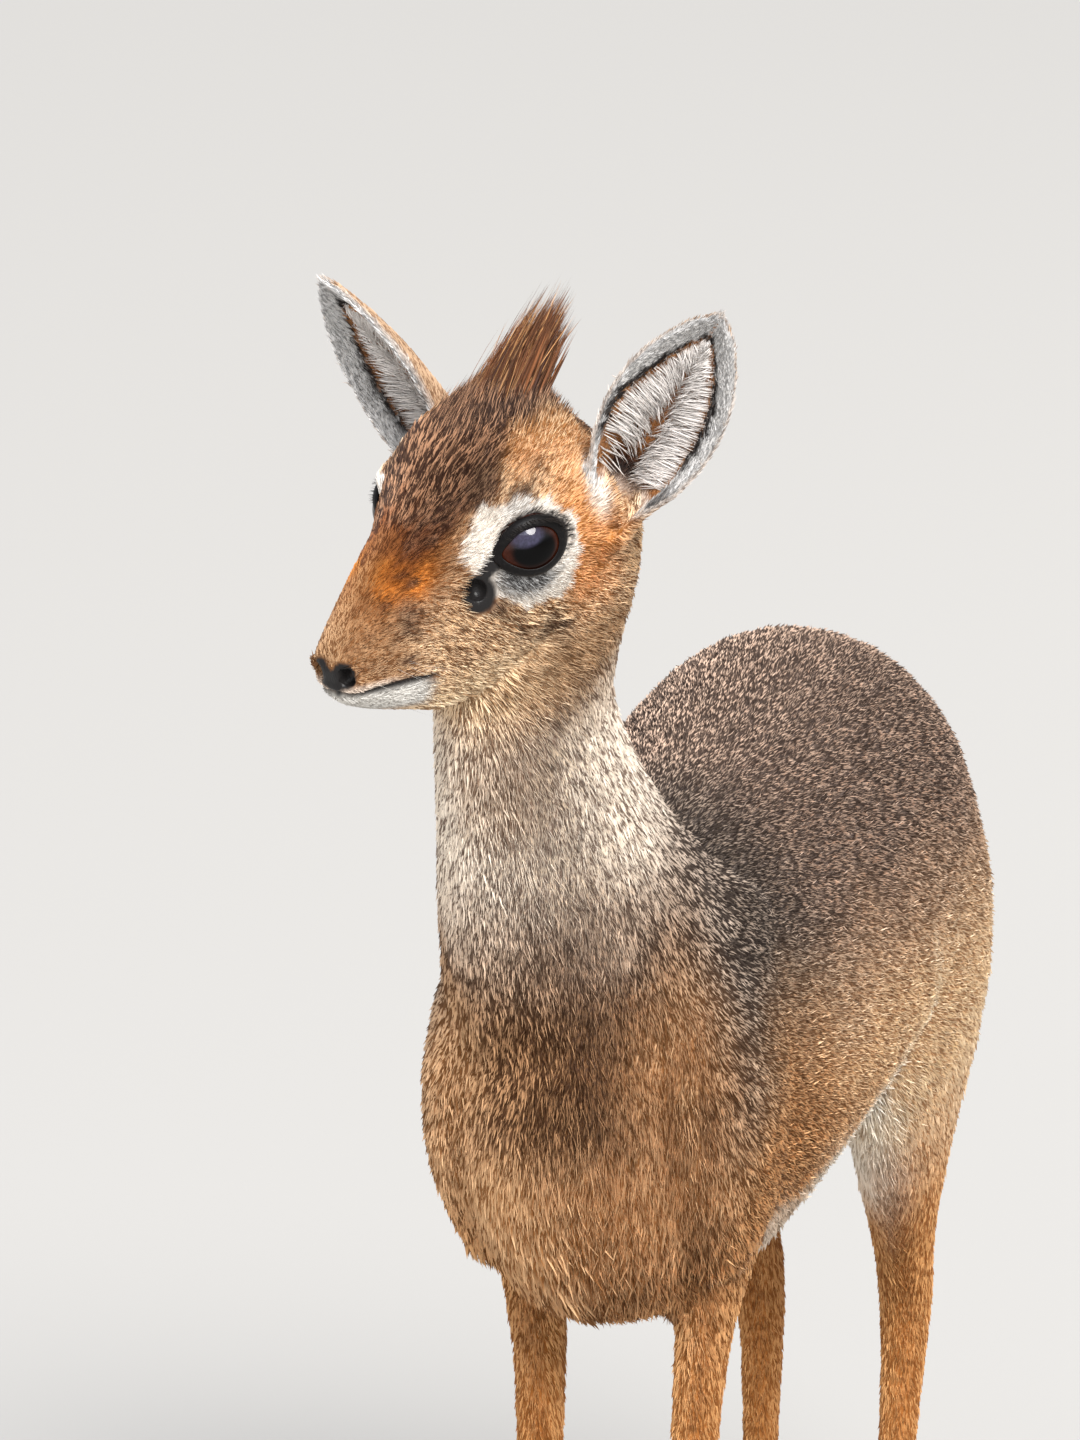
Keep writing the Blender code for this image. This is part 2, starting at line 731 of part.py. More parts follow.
def claw(name, place, inner):
    """Half of a cloven hoof, pointed in front, flat below and sloped back to the coronet."""
    rings = []
    for level, size, back in CLAW_LEVELS:
        ring = []
        for across, along in CLAW_OUTLINE:
            x = place.x + inner * (CLAW_CLEFT / 2 + across * CLAW_WIDTH * size)
            y = place.y + along * CLAW_LENGTH * size + back
            ring.append(Vector((x, y, level * CLAW_HEIGHT)))
        rings.append(ring)
    return loft(name, rings)


def make_foot(label, side, coronet):
    """Two claws under a leg."""
    hand = "left" if side > 0 else "right"
    stride = STRIDES[f"{label}leg_{hand}"]
    place = Vector((side * coronet[0], coronet[1] + stride - 0.004, 0))
    made = []
    for inner in (-1, 1):
        where = "outer" if inner == side else "inner"
        made.append(claw(f"hoof_{label}_{hand}_{where}", place, inner))
    return made


# Parting

def body_cuts():
    """Thin cutters: place, normal and half sizes of each, between the pieces of the body."""
    cuts = [
        (Vector((-0.002, -0.128, 0.350)), (0, -0.48, 0.88), (0.075, 0.085)),
        (Vector((0, 0.1925, 0.3335)), (0, 1.0, -0.02), (0.021, 0.0215)),
    ]
    for side in (-1, 1):
        hand = "left" if side > 0 else "right"
        fore = STRIDES["foreleg_" + hand]
        hind = STRIDES["hindleg_" + hand]
        cuts.append((Vector((side * 0.030, -0.092, 0.1970)), (side * 0.10, 0.0, 1.0), (0.024, 0.040)))
        cuts.append((Vector((side * 0.026, -0.099 + fore, 0.1240)), (0, 0.0, 1.0), (0.020, 0.025)))
        cuts.append((Vector((side * 0.034, 0.122, 0.2080)), (side * 0.05, 0.05, 1.0), (0.030, 0.060)))
        cuts.append((Vector((side * 0.0285, 0.155 + hind, 0.1500)), (0, -0.45, 1.0), (0.020, 0.030)))
    return cuts


BODY_NAMES = {
    "torso": (0, 0.03, 0.29),
    "neck": (-0.004, -0.15, 0.41),
    "tail": (0, 0.196, 0.312),
    "forearm_left": (0.030, -0.094, 0.160),
    "forearm_right": (-0.030, -0.094, 0.160),
    "forecannon_left": (0.0245, -0.099, 0.070),
    "forecannon_right": (-0.0245, -0.099, 0.070),
    "gaskin_left": (0.035, 0.130, 0.175),
    "gaskin_right": (-0.035, 0.130, 0.175),
    "hindcannon_left": (0.0265, 0.150, 0.085),
    "hindcannon_right": (-0.0265, 0.150, 0.085),
}

NECK_TOP = (Vector((-0.0095, -0.1665, 0.4440)), (-0.10, -0.62, 0.78), (0.060, 0.060))


def half_space(place, normal, above, clear=SEAM / 2):
    """A big box that fills one side of a plane and reaches `clear` over it."""
    bpy.ops.mesh.primitive_cube_add(size=1)
    obj = bpy.context.object
    direction = Vector(normal).normalized()
    turn = direction.to_track_quat("Z", "Y").to_matrix().to_4x4()
    shift = 0.25 - clear
    lift = Matrix.Translation(direction * (shift if above else -shift))
    obj.data.transform(lift @ Matrix.Translation(place) @ turn @ Matrix.Diagonal((0.5, 0.5, 0.5, 1)))
    return obj


def part_body(whole):
    for place, normal, half in body_cuts():
        whole = boolean(whole, slab(place, normal, half))
    pieces = {}
    for mesh in loose_parts(whole):
        points = np.array([v.co for v in mesh.vertices])
        middle = (points.min(0) + points.max(0)) / 2
        name = min(BODY_NAMES, key=lambda n: np.linalg.norm(middle - np.array(BODY_NAMES[n])))
        if name not in pieces and len(points) > 30:
            pieces[name] = add_object(name, mesh)
            pieces[name].name = name
    remove(whole)
    return pieces


def stand_on_origin(nodes):
    """Moves every node so that the bounding box's bottom centre is the origin."""
    low = Vector((1e9,) * 3)
    high = Vector((-1e9,) * 3)
    for obj in nodes:
        for v in obj.data.vertices:
            low = Vector(map(min, low, v.co))
            high = Vector(map(max, high, v.co))
    shift = Vector(((low.x + high.x) / 2, (low.y + high.y) / 2, low.z))
    for obj in nodes:
        obj.data.transform(Matrix.Translation(-shift))
    print("shift to the origin", tuple(round(v, 5) for v in shift))


def finish_materials():
    coat = material("grizzled_coat", (0.30, 0.20, 0.13))
    head_coat = material("tawny_coat", (0.45, 0.24, 0.10))
    leg_coat = material("leg_coat", (0.42, 0.24, 0.12))
    ear_coat = material("ear_coat", (0.55, 0.50, 0.45))
    crest_coat = material("crest_coat", (0.22, 0.10, 0.05))
    eye = material("eye", (0.015, 0.008, 0.005), 0.05)
    horn = material("hoof_horn", (0.03, 0.025, 0.02), 0.45)
    by_start = {
        "torso": coat, "neck": coat, "tail": coat, "head": head_coat, "crest": crest_coat,
        "ear": ear_coat, "eye": eye, "hoof": horn, "fore": leg_coat, "gaskin": leg_coat, "hind": leg_coat,
    }
    for obj in bpy.data.objects:
        for start, mat in by_start.items():
            if obj.name.startswith(start):
                obj.data.materials.clear()
                obj.data.materials.append(mat)


def main():
    clear_scene()
    head, plain = make_head()
    head = keep_largest(boolean(head, half_space(NECK_TOP[0], NECK_TOP[1], above=False)))
    face = inflated(plain, GAP)
    remove(plain)

    lofts = [lengthwise_loft("trunk", TORSO, 40), neck_loft(), limb("tail_flesh", TAIL, 14)]
    for side, hand in ((-1, "right"), (1, "left")):
        lofts.append(limb("foreleg", FORELEG, 46, side, STRIDES["foreleg_" + hand]))
        lofts.append(limb("hindleg", HINDLEG, 46, side, STRIDES["hindleg_" + hand]))
    body = fuse("body", lofts, BODY_VOXEL, 12, BODY_TRIANGLES)
    body = boolean(body, half_space(NECK_TOP[0], NECK_TOP[1], above=True))
    floor_cut = half_space(Vector((0, 0, CLAW_HEIGHT)), (0, 0, 1), above=False, clear=GAP)
    body = keep_largest(boolean(body, floor_cut))
    nodes = list(part_body(body).values())

    nodes.append(head)
    nodes += [make_eye(side) for side in (-1, 1)]
    nodes += [make_ear(name, face) for name in EARS]
    nodes.append(make_crest(face))
    remove(face)
    for side in (-1, 1):
        nodes += make_foot("fore", side, FORELEG[-1])
        nodes += make_foot("hind", side, HINDLEG[-1])
    stand_on_origin(nodes)
    finish_materials()


main()
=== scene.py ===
import math

import bmesh
import bpy
import numpy as np
from mathutils import Matrix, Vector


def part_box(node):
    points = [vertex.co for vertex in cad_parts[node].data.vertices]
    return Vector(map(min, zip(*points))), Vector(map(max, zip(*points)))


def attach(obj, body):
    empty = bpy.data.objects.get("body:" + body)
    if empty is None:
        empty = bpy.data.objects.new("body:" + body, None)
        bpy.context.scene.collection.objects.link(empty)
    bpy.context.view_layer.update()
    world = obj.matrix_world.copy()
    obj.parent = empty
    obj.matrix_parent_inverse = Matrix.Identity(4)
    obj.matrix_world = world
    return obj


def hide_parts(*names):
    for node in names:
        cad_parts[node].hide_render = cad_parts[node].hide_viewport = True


# A female dik dik, alert, head turned to its right: skin, coat, ears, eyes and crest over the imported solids

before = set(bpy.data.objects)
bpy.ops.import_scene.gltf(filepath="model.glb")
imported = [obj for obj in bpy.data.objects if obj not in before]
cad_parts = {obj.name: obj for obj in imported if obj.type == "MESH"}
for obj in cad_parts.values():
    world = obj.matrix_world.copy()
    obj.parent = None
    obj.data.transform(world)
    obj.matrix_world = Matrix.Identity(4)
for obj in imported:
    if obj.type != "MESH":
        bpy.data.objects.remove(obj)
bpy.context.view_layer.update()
dice = np.random.default_rng(7)

# Places

headPose = {"turn": -30.0, "nod": 17.0, "roll": 2.0, "eyesMiddle": (-0.018, -0.196, 0.486)}
eyePlan = {
    "across": 0.0245, "along": -0.0005, "up": 0.0005, "radius": 0.0122,
    "outward": 64.0, "upward": 7.0, "slant": 2.0, "wide": 0.0106, "high": 0.0087,
    "bulge": 0.022, "rows": 47, "columns": 64,
}


def turned(angle, axis):
    return np.array(Matrix.Rotation(math.radians(angle), 3, axis))


def middleOf(node):
    low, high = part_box(node)
    return (np.array(low) + np.array(high)) / 2


headAxes = turned(headPose["turn"], "Z") @ turned(headPose["nod"], "X") @ turned(headPose["roll"], "Y")
betweenEyes = (middleOf("eye_left") + middleOf("eye_right")) / 2
headOrigin = betweenEyes - headAxes @ np.array((0, eyePlan["along"], eyePlan["up"]))
bodyShift = headOrigin - np.array(headPose["eyesMiddle"])  # from the solids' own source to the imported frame


def inHead(points):  # x to its left, y backwards, z up, from between the eyes
    return (points - headOrigin) @ headAxes


def fromHead(points):
    return np.asarray(points) @ headAxes.T + headOrigin


def unit(vectors):
    return vectors / np.maximum(np.linalg.norm(vectors, axis=-1, keepdims=True), 1e-12)


def ease(low, high, x):  # 0 below low, 1 above high, smooth between
    t = np.clip((x - low) / (high - low), 0, 1)
    return t * t * (3 - 2 * t)


def beside(*lists):  # lists of one length as the columns of a table
    return np.stack(lists, axis=1)


def fade(low, high, x):  # 1 below low, 0 above high, smooth between
    return 1 - ease(low, high, x)


def bell(x):  # 1 at nothing, falling off on both sides
    return np.exp(-(x**2))


def blob(points, centre, radii, soft=0.35):  # 1 inside an ellipsoid, fading over its soft rim
    reach = np.linalg.norm((points - np.array(centre)) / np.array(radii), axis=1)
    return fade(1 - soft, 1 + soft, reach)


sideOf = {"left": 1, "right": -1}
handOf = {1: "left", -1: "right"}


def eyeAxes(side):  # centre, toward the back corner, up, and out along the gaze, in the head's frame
    out, lift, slant = (math.radians(eyePlan[k]) for k in ("outward", "upward", "slant"))
    centre = np.array((side * eyePlan["across"], eyePlan["along"], eyePlan["up"]))
    flat = np.array((side * math.sin(out), -math.cos(out), 0))
    look = unit(flat * math.cos(lift) + np.array((0, 0, math.sin(lift))))
    back = unit(np.cross((0, 0, 1), look)) * side
    up = unit(np.cross(look, back)) * side
    slanted = back * math.cos(slant) + up * math.sin(slant)
    upright = up * math.cos(slant) - back * math.sin(slant)
    return centre, slanted, upright, look


def inEye(headPoints, side):  # a toward the back corner, b up, c out along the gaze
    centre, back, up, look = eyeAxes(side)
    return (headPoints - centre) @ beside(back, up, look)


def lidOutline(count, grow=0.0):  # the rounded almond of the opening, with a drawn-out front corner
    angle = np.linspace(0, 2 * np.pi, count, endpoint=False)
    c, s = np.cos(angle), np.sin(angle)
    front = np.clip(-c, 0, None) ** 3
    a = (eyePlan["wide"] + grow) * c * (1 + 0.14 * front)
    b = (eyePlan["high"] + grow) * np.sign(s) * np.abs(s) ** 0.95 * (1 - 0.25 * front)
    return a, b


# Meshes and attributes


def placed(name, data):  # a new object in the scene
    made = bpy.data.objects.new(name, data)
    bpy.context.scene.collection.objects.link(made)
    return made


def writeMesh(name, points, faces, smooth=True):
    mesh = bpy.data.meshes.new(name)
    count, corners = faces.shape
    mesh.vertices.add(len(points))
    mesh.vertices.foreach_set("co", np.ascontiguousarray(points, np.float32).ravel())
    mesh.loops.add(count * corners)
    mesh.loops.foreach_set("vertex_index", np.ascontiguousarray(faces, np.int32).ravel())
    mesh.polygons.add(count)
    mesh.polygons.foreach_set("loop_start", np.arange(0, count * corners, corners, dtype=np.int32))
    mesh.polygons.foreach_set("use_smooth", np.full(count, smooth))
    mesh.update(calc_edges=True)
    mesh.validate()
    return placed(name, mesh)


def ringFaces(rings, corners, closed=False):  # faces between rings of corners; closed joins last to first
    i, j = np.meshgrid(np.arange(rings if closed else rings - 1), np.arange(corners), indexing="ij")
    here, there, after = i * corners, (i + 1) % rings * corners, (j + 1) % corners
    return np.stack((here + j, here + after, there + after, there + j), axis=-1).reshape(-1, 4)


def addColour(mesh, name, colours):
    full = np.ones((len(colours), 4), np.float32)
    full[:, :colours.shape[1]] = colours
    mesh.attributes.new(name, "FLOAT_COLOR", "POINT").data.foreach_set("color", full.ravel())


def addVector(mesh, name, vectors):
    flat = np.ascontiguousarray(vectors, np.float32).ravel()
    mesh.attributes.new(name, "FLOAT_VECTOR", "POINT").data.foreach_set("vector", flat)


def addMap(mesh, perVertex):  # the map that the coat's colours are kept on
    loops = np.empty(len(mesh.loops), np.int32)
    mesh.loops.foreach_get("vertex_index", loops)
    layer = mesh.uv_layers.new(name="OFBake")
    layer.uv.foreach_set("vector", np.ascontiguousarray(perVertex[loops], np.float32).ravel())


def pointsOf(mesh):
    flat = np.empty(3 * len(mesh.vertices), np.float32)
    mesh.vertices.foreach_get("co", flat)
    return flat.reshape(-1, 3).astype(float)


def normalsOf(mesh):
    flat = np.empty(3 * len(mesh.vertices), np.float32)
    mesh.vertex_normals.foreach_get("vector", flat)
    return flat.reshape(-1, 3).astype(float)


def finishPiece(piece, material, slotName, *nodes):
    piece.data.materials.append(material)
    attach(piece, "root")
    if nodes:
        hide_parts(*nodes)
    return piece


# Shader maths


class Wire:
    def __init__(self, tree, socket=None):
        self.tree, self.socket = tree, socket

    # Any node: its type, its settings, then the values or links of its sockets
    def node(self, kind, settings=None, sockets=None, out=0):
        made = self.tree.nodes.new(kind)
        for name, value in (settings or {}).items():
            setattr(made, name, value)
        for name, value in (sockets or {}).items():
            if isinstance(value, Wire):
                self.tree.links.new(value.socket, made.inputs[name])
            else:
                made.inputs[name].default_value = value
        return Wire(self.tree, made.outputs[out])

    def maths(self, operation, a, b=0.0):
        return self.node("ShaderNodeMath", {"operation": operation}, {0: a, 1: b})

    def __add__(self, other):
        return self.maths("ADD", self, other)

    def __sub__(self, other):
        return self.maths("SUBTRACT", self, other)

    def __rsub__(self, other):
        return self.maths("SUBTRACT", other, self)

    def __mul__(self, other):
        return self.maths("MULTIPLY", self, other)

    def __truediv__(self, other):
        return self.maths("DIVIDE", self, other)

    def __pow__(self, other):
        return self.maths("POWER", self, other)

    __radd__, __rmul__ = __add__, __mul__

    def ramp(self, low, high):  # 0 below low, 1 above high, smooth between
        settings = {"interpolation_type": "SMOOTHSTEP"}
        return self.node("ShaderNodeMapRange", settings, {"Value": self, "From Min": low, "From Max": high})

    def mixed(self, other, share):  # this colour, changed to the other by the share
        settings = {"data_type": "RGBA", "clamp_factor": True}
        return self.node("ShaderNodeMix", settings, {0: share, 6: self, 7: other}, out=2)

    def colour(self, value):
        made = self.node("ShaderNodeRGB")
        made.socket.default_value = (*value, 1.0)
        return made

    def parts(self):
        made = self.tree.nodes.new("ShaderNodeSeparateXYZ")
        self.tree.links.new(self.socket, made.inputs[0])
        return [Wire(self.tree, out) for out in made.outputs]

    def attribute(self, name, out=0):  # 0 is its colour, 1 its vector, 3 its fourth channel
        return self.node("ShaderNodeAttribute", {"attribute_name": name}, None, out)

    def place(self):
        return self.node("ShaderNodeTexCoord", None, None, out=3)

    def noise(self, scale, detail=2.0, stretch=(1, 1, 1), roughness=0.5):
        where = self.node("ShaderNodeMapping", None, {"Vector": self.place(), "Scale": stretch})
        sockets = {"Vector": where, "Scale": scale, "Detail": detail, "Roughness": roughness}
        return self.node("ShaderNodeTexNoise", None, sockets)

    def bump(self, height, distance, strength=1.0):
        sockets = {"Height": height, "Distance": distance, "Strength": strength}
        return self.node("ShaderNodeBump", None, sockets)


def newMaterial(name, plain):
    made = bpy.data.materials.new(name)
    made.use_nodes = True
    shader = made.node_tree.nodes["Principled BSDF"]
    for socket, value in plain.items():
        shader.inputs[socket].default_value = value
    return made, Wire(made.node_tree), shader


def feed(tree, shader, **wires):
    for name, wire in wires.items():
        tree.tree.links.new(wire.socket, shader.inputs[name.replace("_", " ")])


# Colours of the coat: each zone has the dark and the light tone of its hairs, and the share of dark hairs;
# throat and muzzle tones also hold painted shade, cheek and temple tones painted light

zones = {
    "back": ((0.060, 0.037, 0.028), (0.79, 0.575, 0.44), 0.365),
    "shoulder": ((0.030, 0.020, 0.016), (0.58, 0.47, 0.38), 0.48),
    "flank": ((0.36, 0.185, 0.080), (1.0, 0.80, 0.54), 0.10),
    "lowFlank": ((0.16, 0.062, 0.014), (0.84, 0.50, 0.24), 0.28),
    "neck": ((0.190, 0.133, 0.100), (1.0, 0.90, 0.77), 0.23),
    # throat: its own orange-brown, darkened by painted shade where it is laid under the jaw
    "throat": ((0.18, 0.088, 0.034), (0.56, 0.36, 0.20), 0.34),
    "chest": ((0.075, 0.030, 0.010), (0.62, 0.37, 0.20), 0.38),
    "chestPatch": ((0.050, 0.017, 0.004), (0.40, 0.21, 0.095), 0.48),
    "chestLow": ((0.30, 0.125, 0.035), (0.78, 0.51, 0.28), 0.32),
    "leg": ((0.26, 0.092, 0.018), (0.60, 0.315, 0.12), 0.42),
    "thigh": ((0.56, 0.400, 0.240), (1.0, 0.92, 0.75), 0.18),
    "belly": ((0.54, 0.46, 0.36), (1.0, 0.95, 0.86), 0.20),
    # cheek: its own tawny colour, lightened by painted light
    "cheek": ((0.19, 0.080, 0.026), (1.0, 0.77, 0.51), 0.38),
    "jawline": ((0.34, 0.210, 0.110), (0.96, 0.78, 0.54), 0.28),
    # muzzle: its own brown, darkened by painted shade
    "muzzle": ((0.14, 0.055, 0.016), (0.38, 0.190, 0.075), 0.38),
    "bridge": ((0.56, 0.160, 0.008), (0.94, 0.37, 0.050), 0.14),
    "tan": ((0.17, 0.054, 0.010), (0.36, 0.160, 0.050), 0.42),
    "smoke": ((0.085, 0.050, 0.035), (0.34, 0.22, 0.14), 0.58),
    "forehead": ((0.025, 0.008, 0.004), (0.48, 0.262, 0.150), 0.61),
    "brow": ((0.048, 0.012, 0.003), (0.28, 0.088, 0.024), 0.58),
    # temple: its own orange-tan, lightened by painted light
    "temple": ((0.38, 0.150, 0.032), (0.90, 0.50, 0.23), 0.34),
    "gold": ((0.42, 0.180, 0.050), (0.92, 0.64, 0.38), 0.34),
    "white": ((0.52, 0.46, 0.40), (0.93, 0.89, 0.83), 0.20),
    "chin": ((0.36, 0.34, 0.31), (0.70, 0.68, 0.64), 0.30),
    "lidGrey": ((0.040, 0.040, 0.042), (0.58, 0.58, 0.58), 0.52),
    "streak": ((0.050, 0.022, 0.012), (0.36, 0.23, 0.14), 0.64),
    "lidFur": ((0.010, 0.009, 0.009), (0.050, 0.045, 0.042), 0.60),
    "bare": ((0.010, 0.009, 0.009), (0.022, 0.021, 0.022), 0.50),
    "earBack": ((0.24, 0.130, 0.065), (0.60, 0.42, 0.27), 0.40),
    "earRim": ((0.30, 0.295, 0.29), (0.72, 0.71, 0.70), 0.40),
    "earLine": ((0.012, 0.010, 0.010), (0.045, 0.038, 0.035), 0.60),
    "earSkin": ((0.26, 0.105, 0.034), (0.40, 0.200, 0.085), 0.50),
    "earCanal": ((0.05, 0.016, 0.007), (0.15, 0.055, 0.022), 0.50),
}

# The white ring's reach round the eye, from the back corner upwards and round, every 30 degrees
ringReach = (0.0163, 0.0144, 0.0138, 0.0143, 0.0174, 0.0205, 0.0222, 0.0196, 0.0188, 0.0208, 0.0212, 0.0170)


# A smooth random field from -1 to 1: corner values of a lattice, blended by eased shares.
def drift(points, scale, seed):
    cell = points * scale
    base = np.floor(cell)
    share = ease(0, 1, cell - base)
    total = np.zeros(len(points))
    for corner in np.ndindex(2, 2, 2):
        value = np.sin((base + corner) @ np.array((127.1, 311.7, 74.7)) + seed) * 43758.5453
        weight = np.prod(np.where(corner, share, 1 - share), axis=1)
        total += weight * (value - np.floor(value))
    return 2 * total - 1


def muzzleMarks(h):  # bare skin of the nose: two lobes, joined below, with a notch above and the lip's cleft
    front = fade(-0.0605, -0.0580, h[:, 1])
    flat = h[:, [0, 2]] - np.array((0.0010, 0.0))
    lobes = sum(blob(flat, (side * 0.0044, -0.0190), (0.0038, 0.0043), 0.12) for side in (-1, 1))
    under = blob(flat, (0, -0.0210), (0.0066, 0.0034), 0.2)
    cleft = blob(flat, (0, -0.0242), (0.0018, 0.0028), 0.4)
    notch = blob(flat, (0, -0.0146), (0.0017, 0.0027), 0.3)
    return np.clip(lobes + under + cleft, 0, 1) * (1 - notch) * front


def mouthHeight(y):  # the line of the lips: level in front, then falling toward the corner
    t = np.clip((y + 0.0655) / 0.029, 0, 1)
    return -0.0253 - 0.0054 * t**1.7


def mouthMark(h):  # 1 on the dark line between the lips, thickest halfway along
    y, z = h[:, 1], h[:, 2]
    along = fade(-0.0385, -0.0350, y) * (1 - 0.35 * fade(-0.066, -0.060, y))
    half = 0.00150 * (0.55 + 0.45 * np.sin(np.pi * np.clip((y + 0.066) / 0.030, 0, 1)))
    return along * bell((z - mouthHeight(y) + 0.0003) / half) * (z < 0)


def eyeMarks(h, side):  # shares of white ring, grey under the lid, black fur on the lids, and bare skin
    a, b, c = inEye(h, side).T
    facing = ease(-0.0110, -0.0060, c) * (np.sign(h[:, 0]) == side)
    reach = np.hypot(a, b)
    angle = np.degrees(np.arctan2(b, a)) % 360
    limit = np.interp(angle, np.arange(0, 390, 30), (*ringReach, ringReach[0]))
    ragged = 0.0010 * np.sin(9 * np.radians(angle)) + 0.0006 * np.sin(23 * np.radians(angle) + 1)
    ring = fade(-0.0010, 0.0008, reach - limit - ragged) * facing
    below = ease(190, 215, angle) * fade(270, 325, angle)
    grey = below * fade(0.0128, 0.0200, reach + 0.0022 * ease(235, 300, angle)) * facing
    topShade = ease(50, 80, angle) * fade(105, 130, angle) * 0.45
    flat = beside(a, b)
    gland = blob(flat, (-0.0194, -0.0099), (0.0058, 0.0068), 0.16)
    t = np.clip(((a + 0.0182) * 0.0066 + (b + 0.0062) * 0.0060) / (0.0066**2 + 0.0060**2), 0, 1)
    bridge = fade(0.0019, 0.0030, np.hypot(a + 0.0182 - 0.0066 * t, b + 0.0062 - 0.0060 * t))
    wide, high = eyePlan["wide"] + 0.0007, eyePlan["high"] + 0.0006
    lid = fade(0.97, 1.07, np.hypot(a / wide, b / high))
    over = ease(-20, 20, (angle + 60) % 360 - 60) * fade(125, 175, angle)
    rear = np.maximum(0, np.cos(np.radians(angle - 12))) ** 3
    wide, high = eyePlan["wide"] + 0.0010 + 0.0014 * rear, eyePlan["high"] + 0.0006 + 0.0010 * over
    lidFur = fade(0.95, 1.06, np.hypot(a / wide, b / high)) * facing
    corner = blob(flat, (-0.0124, -0.0020), (0.0032, 0.0030), 0.3) * facing
    lidFur = np.maximum(lidFur, corner)
    bare = np.maximum(np.maximum(gland, bridge), lid) * facing
    return ring, np.clip(grey + topShade * ring, 0, 1), lidFur, bare


# Heights of the head's top line, at distances back from between the eyes
topLine = (
    (-0.065, -0.053, -0.043, -0.030, -0.017, -0.004, 0.010, 0.025, 0.039),
    (-0.0128, -0.0012, 0.0072, 0.0162, 0.0246, 0.0308, 0.0342, 0.0318, 0.0232),
)


# Spots on both sides of the face: zone, centre, radii, softness of the rim, share, and whether in clumps
faceSpots = (
    ("gold", (0.0245, 0.0270, 0.0190), (0.0115, 0.0145, 0.0135), 0.4, 0.9, False),
    ("streak", (0.0150, -0.0470, -0.0140), (0.0050, 0.0048, 0.0105), 0.6, 0.9, True),
    ("streak", (0.0110, -0.0560, -0.0170), (0.0040, 0.0040, 0.0060), 0.6, 0.6, True),
    ("streak", (0.0225, -0.0125, -0.0235), (0.0095, 0.0050, 0.0050), 0.6, 0.9, True),
    ("streak", (0.0245, 0.0045, -0.0345), (0.0115, 0.0070, 0.0125), 0.5, 1.0, True),
    ("white", (0.0350, 0.0270, 0.0060), (0.0080, 0.0070, 0.0110), 0.4, 0.9, False),
    ("streak", (0.0205, -0.0100, 0.0225), (0.0050, 0.0070, 0.0060), 0.6, 0.8, False),
    ("streak", (0.0245, -0.0155, -0.0155), (0.0070, 0.0040, 0.0030), 0.6, 0.8, True),
    ("streak", (0.0300, -0.0020, 0.0165), (0.0060, 0.0045, 0.0030), 0.6, 0.9, False),
)


def layerList(name, count):  # a list that starts with one zone all over, and the call that adds to it
    layers = [(name, np.ones(count))]
    return layers, lambda zone, share: layers.append((zone, share))


def headCoat(h):  # zones of the head, each laid over the one before
    x, y, z = h.T
    wide = np.abs(x)
    mirrored = beside(wide, y, z)
    patches, streaks = drift(h * (1, 0.5, 1), 190, 3), drift(h * (1.0, 0.30, 0.8), 420, 5)
    layers, add = layerList("cheek", len(h))
    add("muzzle", fade(-0.052, -0.036, y) * 0.75)
    add("temple", blob(mirrored, (0.031, 0.018, -0.006), (0.016, 0.015, 0.022), 0.5))
    top = fade(0.0065, 0.0150, np.interp(y, *topLine) - z)
    add("tan", blob(mirrored, (0.0080, -0.035, 0.006), (0.0130, 0.0240, 0.0150), 0.6))
    spot = blob(mirrored, (0.0088, -0.0370, 0.0012), (0.0062, 0.0088, 0.0078), 0.6)
    add("bridge", spot * np.clip(0.75 + 0.5 * patches, 0, 1))
    add("smoke", blob(mirrored, (0.0135, -0.0420, -0.0060), (0.0040, 0.0040, 0.0045), 0.6) * 0.6)
    behind = np.clip(-y - 0.002, 0, 0.02)
    edge = wide - behind + 0.0015 * streaks
    dusk = top * ease(-0.050, -0.020, y + 0.50 * wide) * fade(0.0165, 0.0225, edge)
    add("brow", np.clip(1.7 * dusk + 0.5 * streaks - 0.1, 0, 1) * 0.9)
    deep = dusk * ease(-0.042, -0.012, y + 0.30 * wide)
    add("forehead", ease(0.10, 0.80, deep + 0.45 * streaks * (dusk > 0.05)))
    crown = top * ease(0.0160, 0.0215, wide + 0.0015 * streaks) * ease(-0.004, 0.006, y)
    add("temple", crown * 0.8)
    add("gold", crown * ease(0.0225, 0.0300, z) * 0.85)
    clumps = np.clip(0.5 + 1.1 * streaks, 0, 1)
    for name, centre, radii, soft, share, clumped in faceSpots:
        add(name, blob(mirrored, centre, radii, soft) * share * (clumps if clumped else 1))
    lowJaw = fade(-0.044, -0.030, z)
    add("jawline", blob(mirrored, (0.010, -0.012, -0.044), (0.016, 0.034, 0.012), 0.5) * 0.85)
    # painted shade: the throat's dark tones laid under the jaw
    add("throat", lowJaw * ease(-0.02, 0.01, y) * 0.75)
    lipDrop = z - mouthHeight(y)
    chin = fade(-0.0012, 0.0004, lipDrop) * fade(-0.043, -0.035, y)
    add("chin", chin * ease(-0.0125, -0.0080, lipDrop))
    upperLip = ease(-0.0005, 0.0005, lipDrop) * fade(0.0016, 0.0036, lipDrop)
    add("white", upperLip * fade(-0.060, -0.046, y) * 0.5)
    bare = np.maximum(muzzleMarks(h), mouthMark(h))
    for side in (-1, 1):
        ring, grey, lidFur, lids = eyeMarks(h, side)
        add("white", ring)
        add("lidGrey", grey * 0.95)
        add("lidFur", lidFur)
        bare = np.maximum(bare, lids)
    add("bare", bare)
    return layers, bare


def aboveNeckBase(y, z):  # distance above the slanted line from withers to chest
    return (y + 0.128) * -0.48 + (z - 0.350) * 0.88


# The pale edge from the flank's fold down in front of the thigh and along the belly
foldLine = (
    (0.063, 0.054, 0.305), (0.063, 0.063, 0.272), (0.059, 0.054, 0.252), (0.051, 0.030, 0.240),
    (0.045, 0.000, 0.232),
)


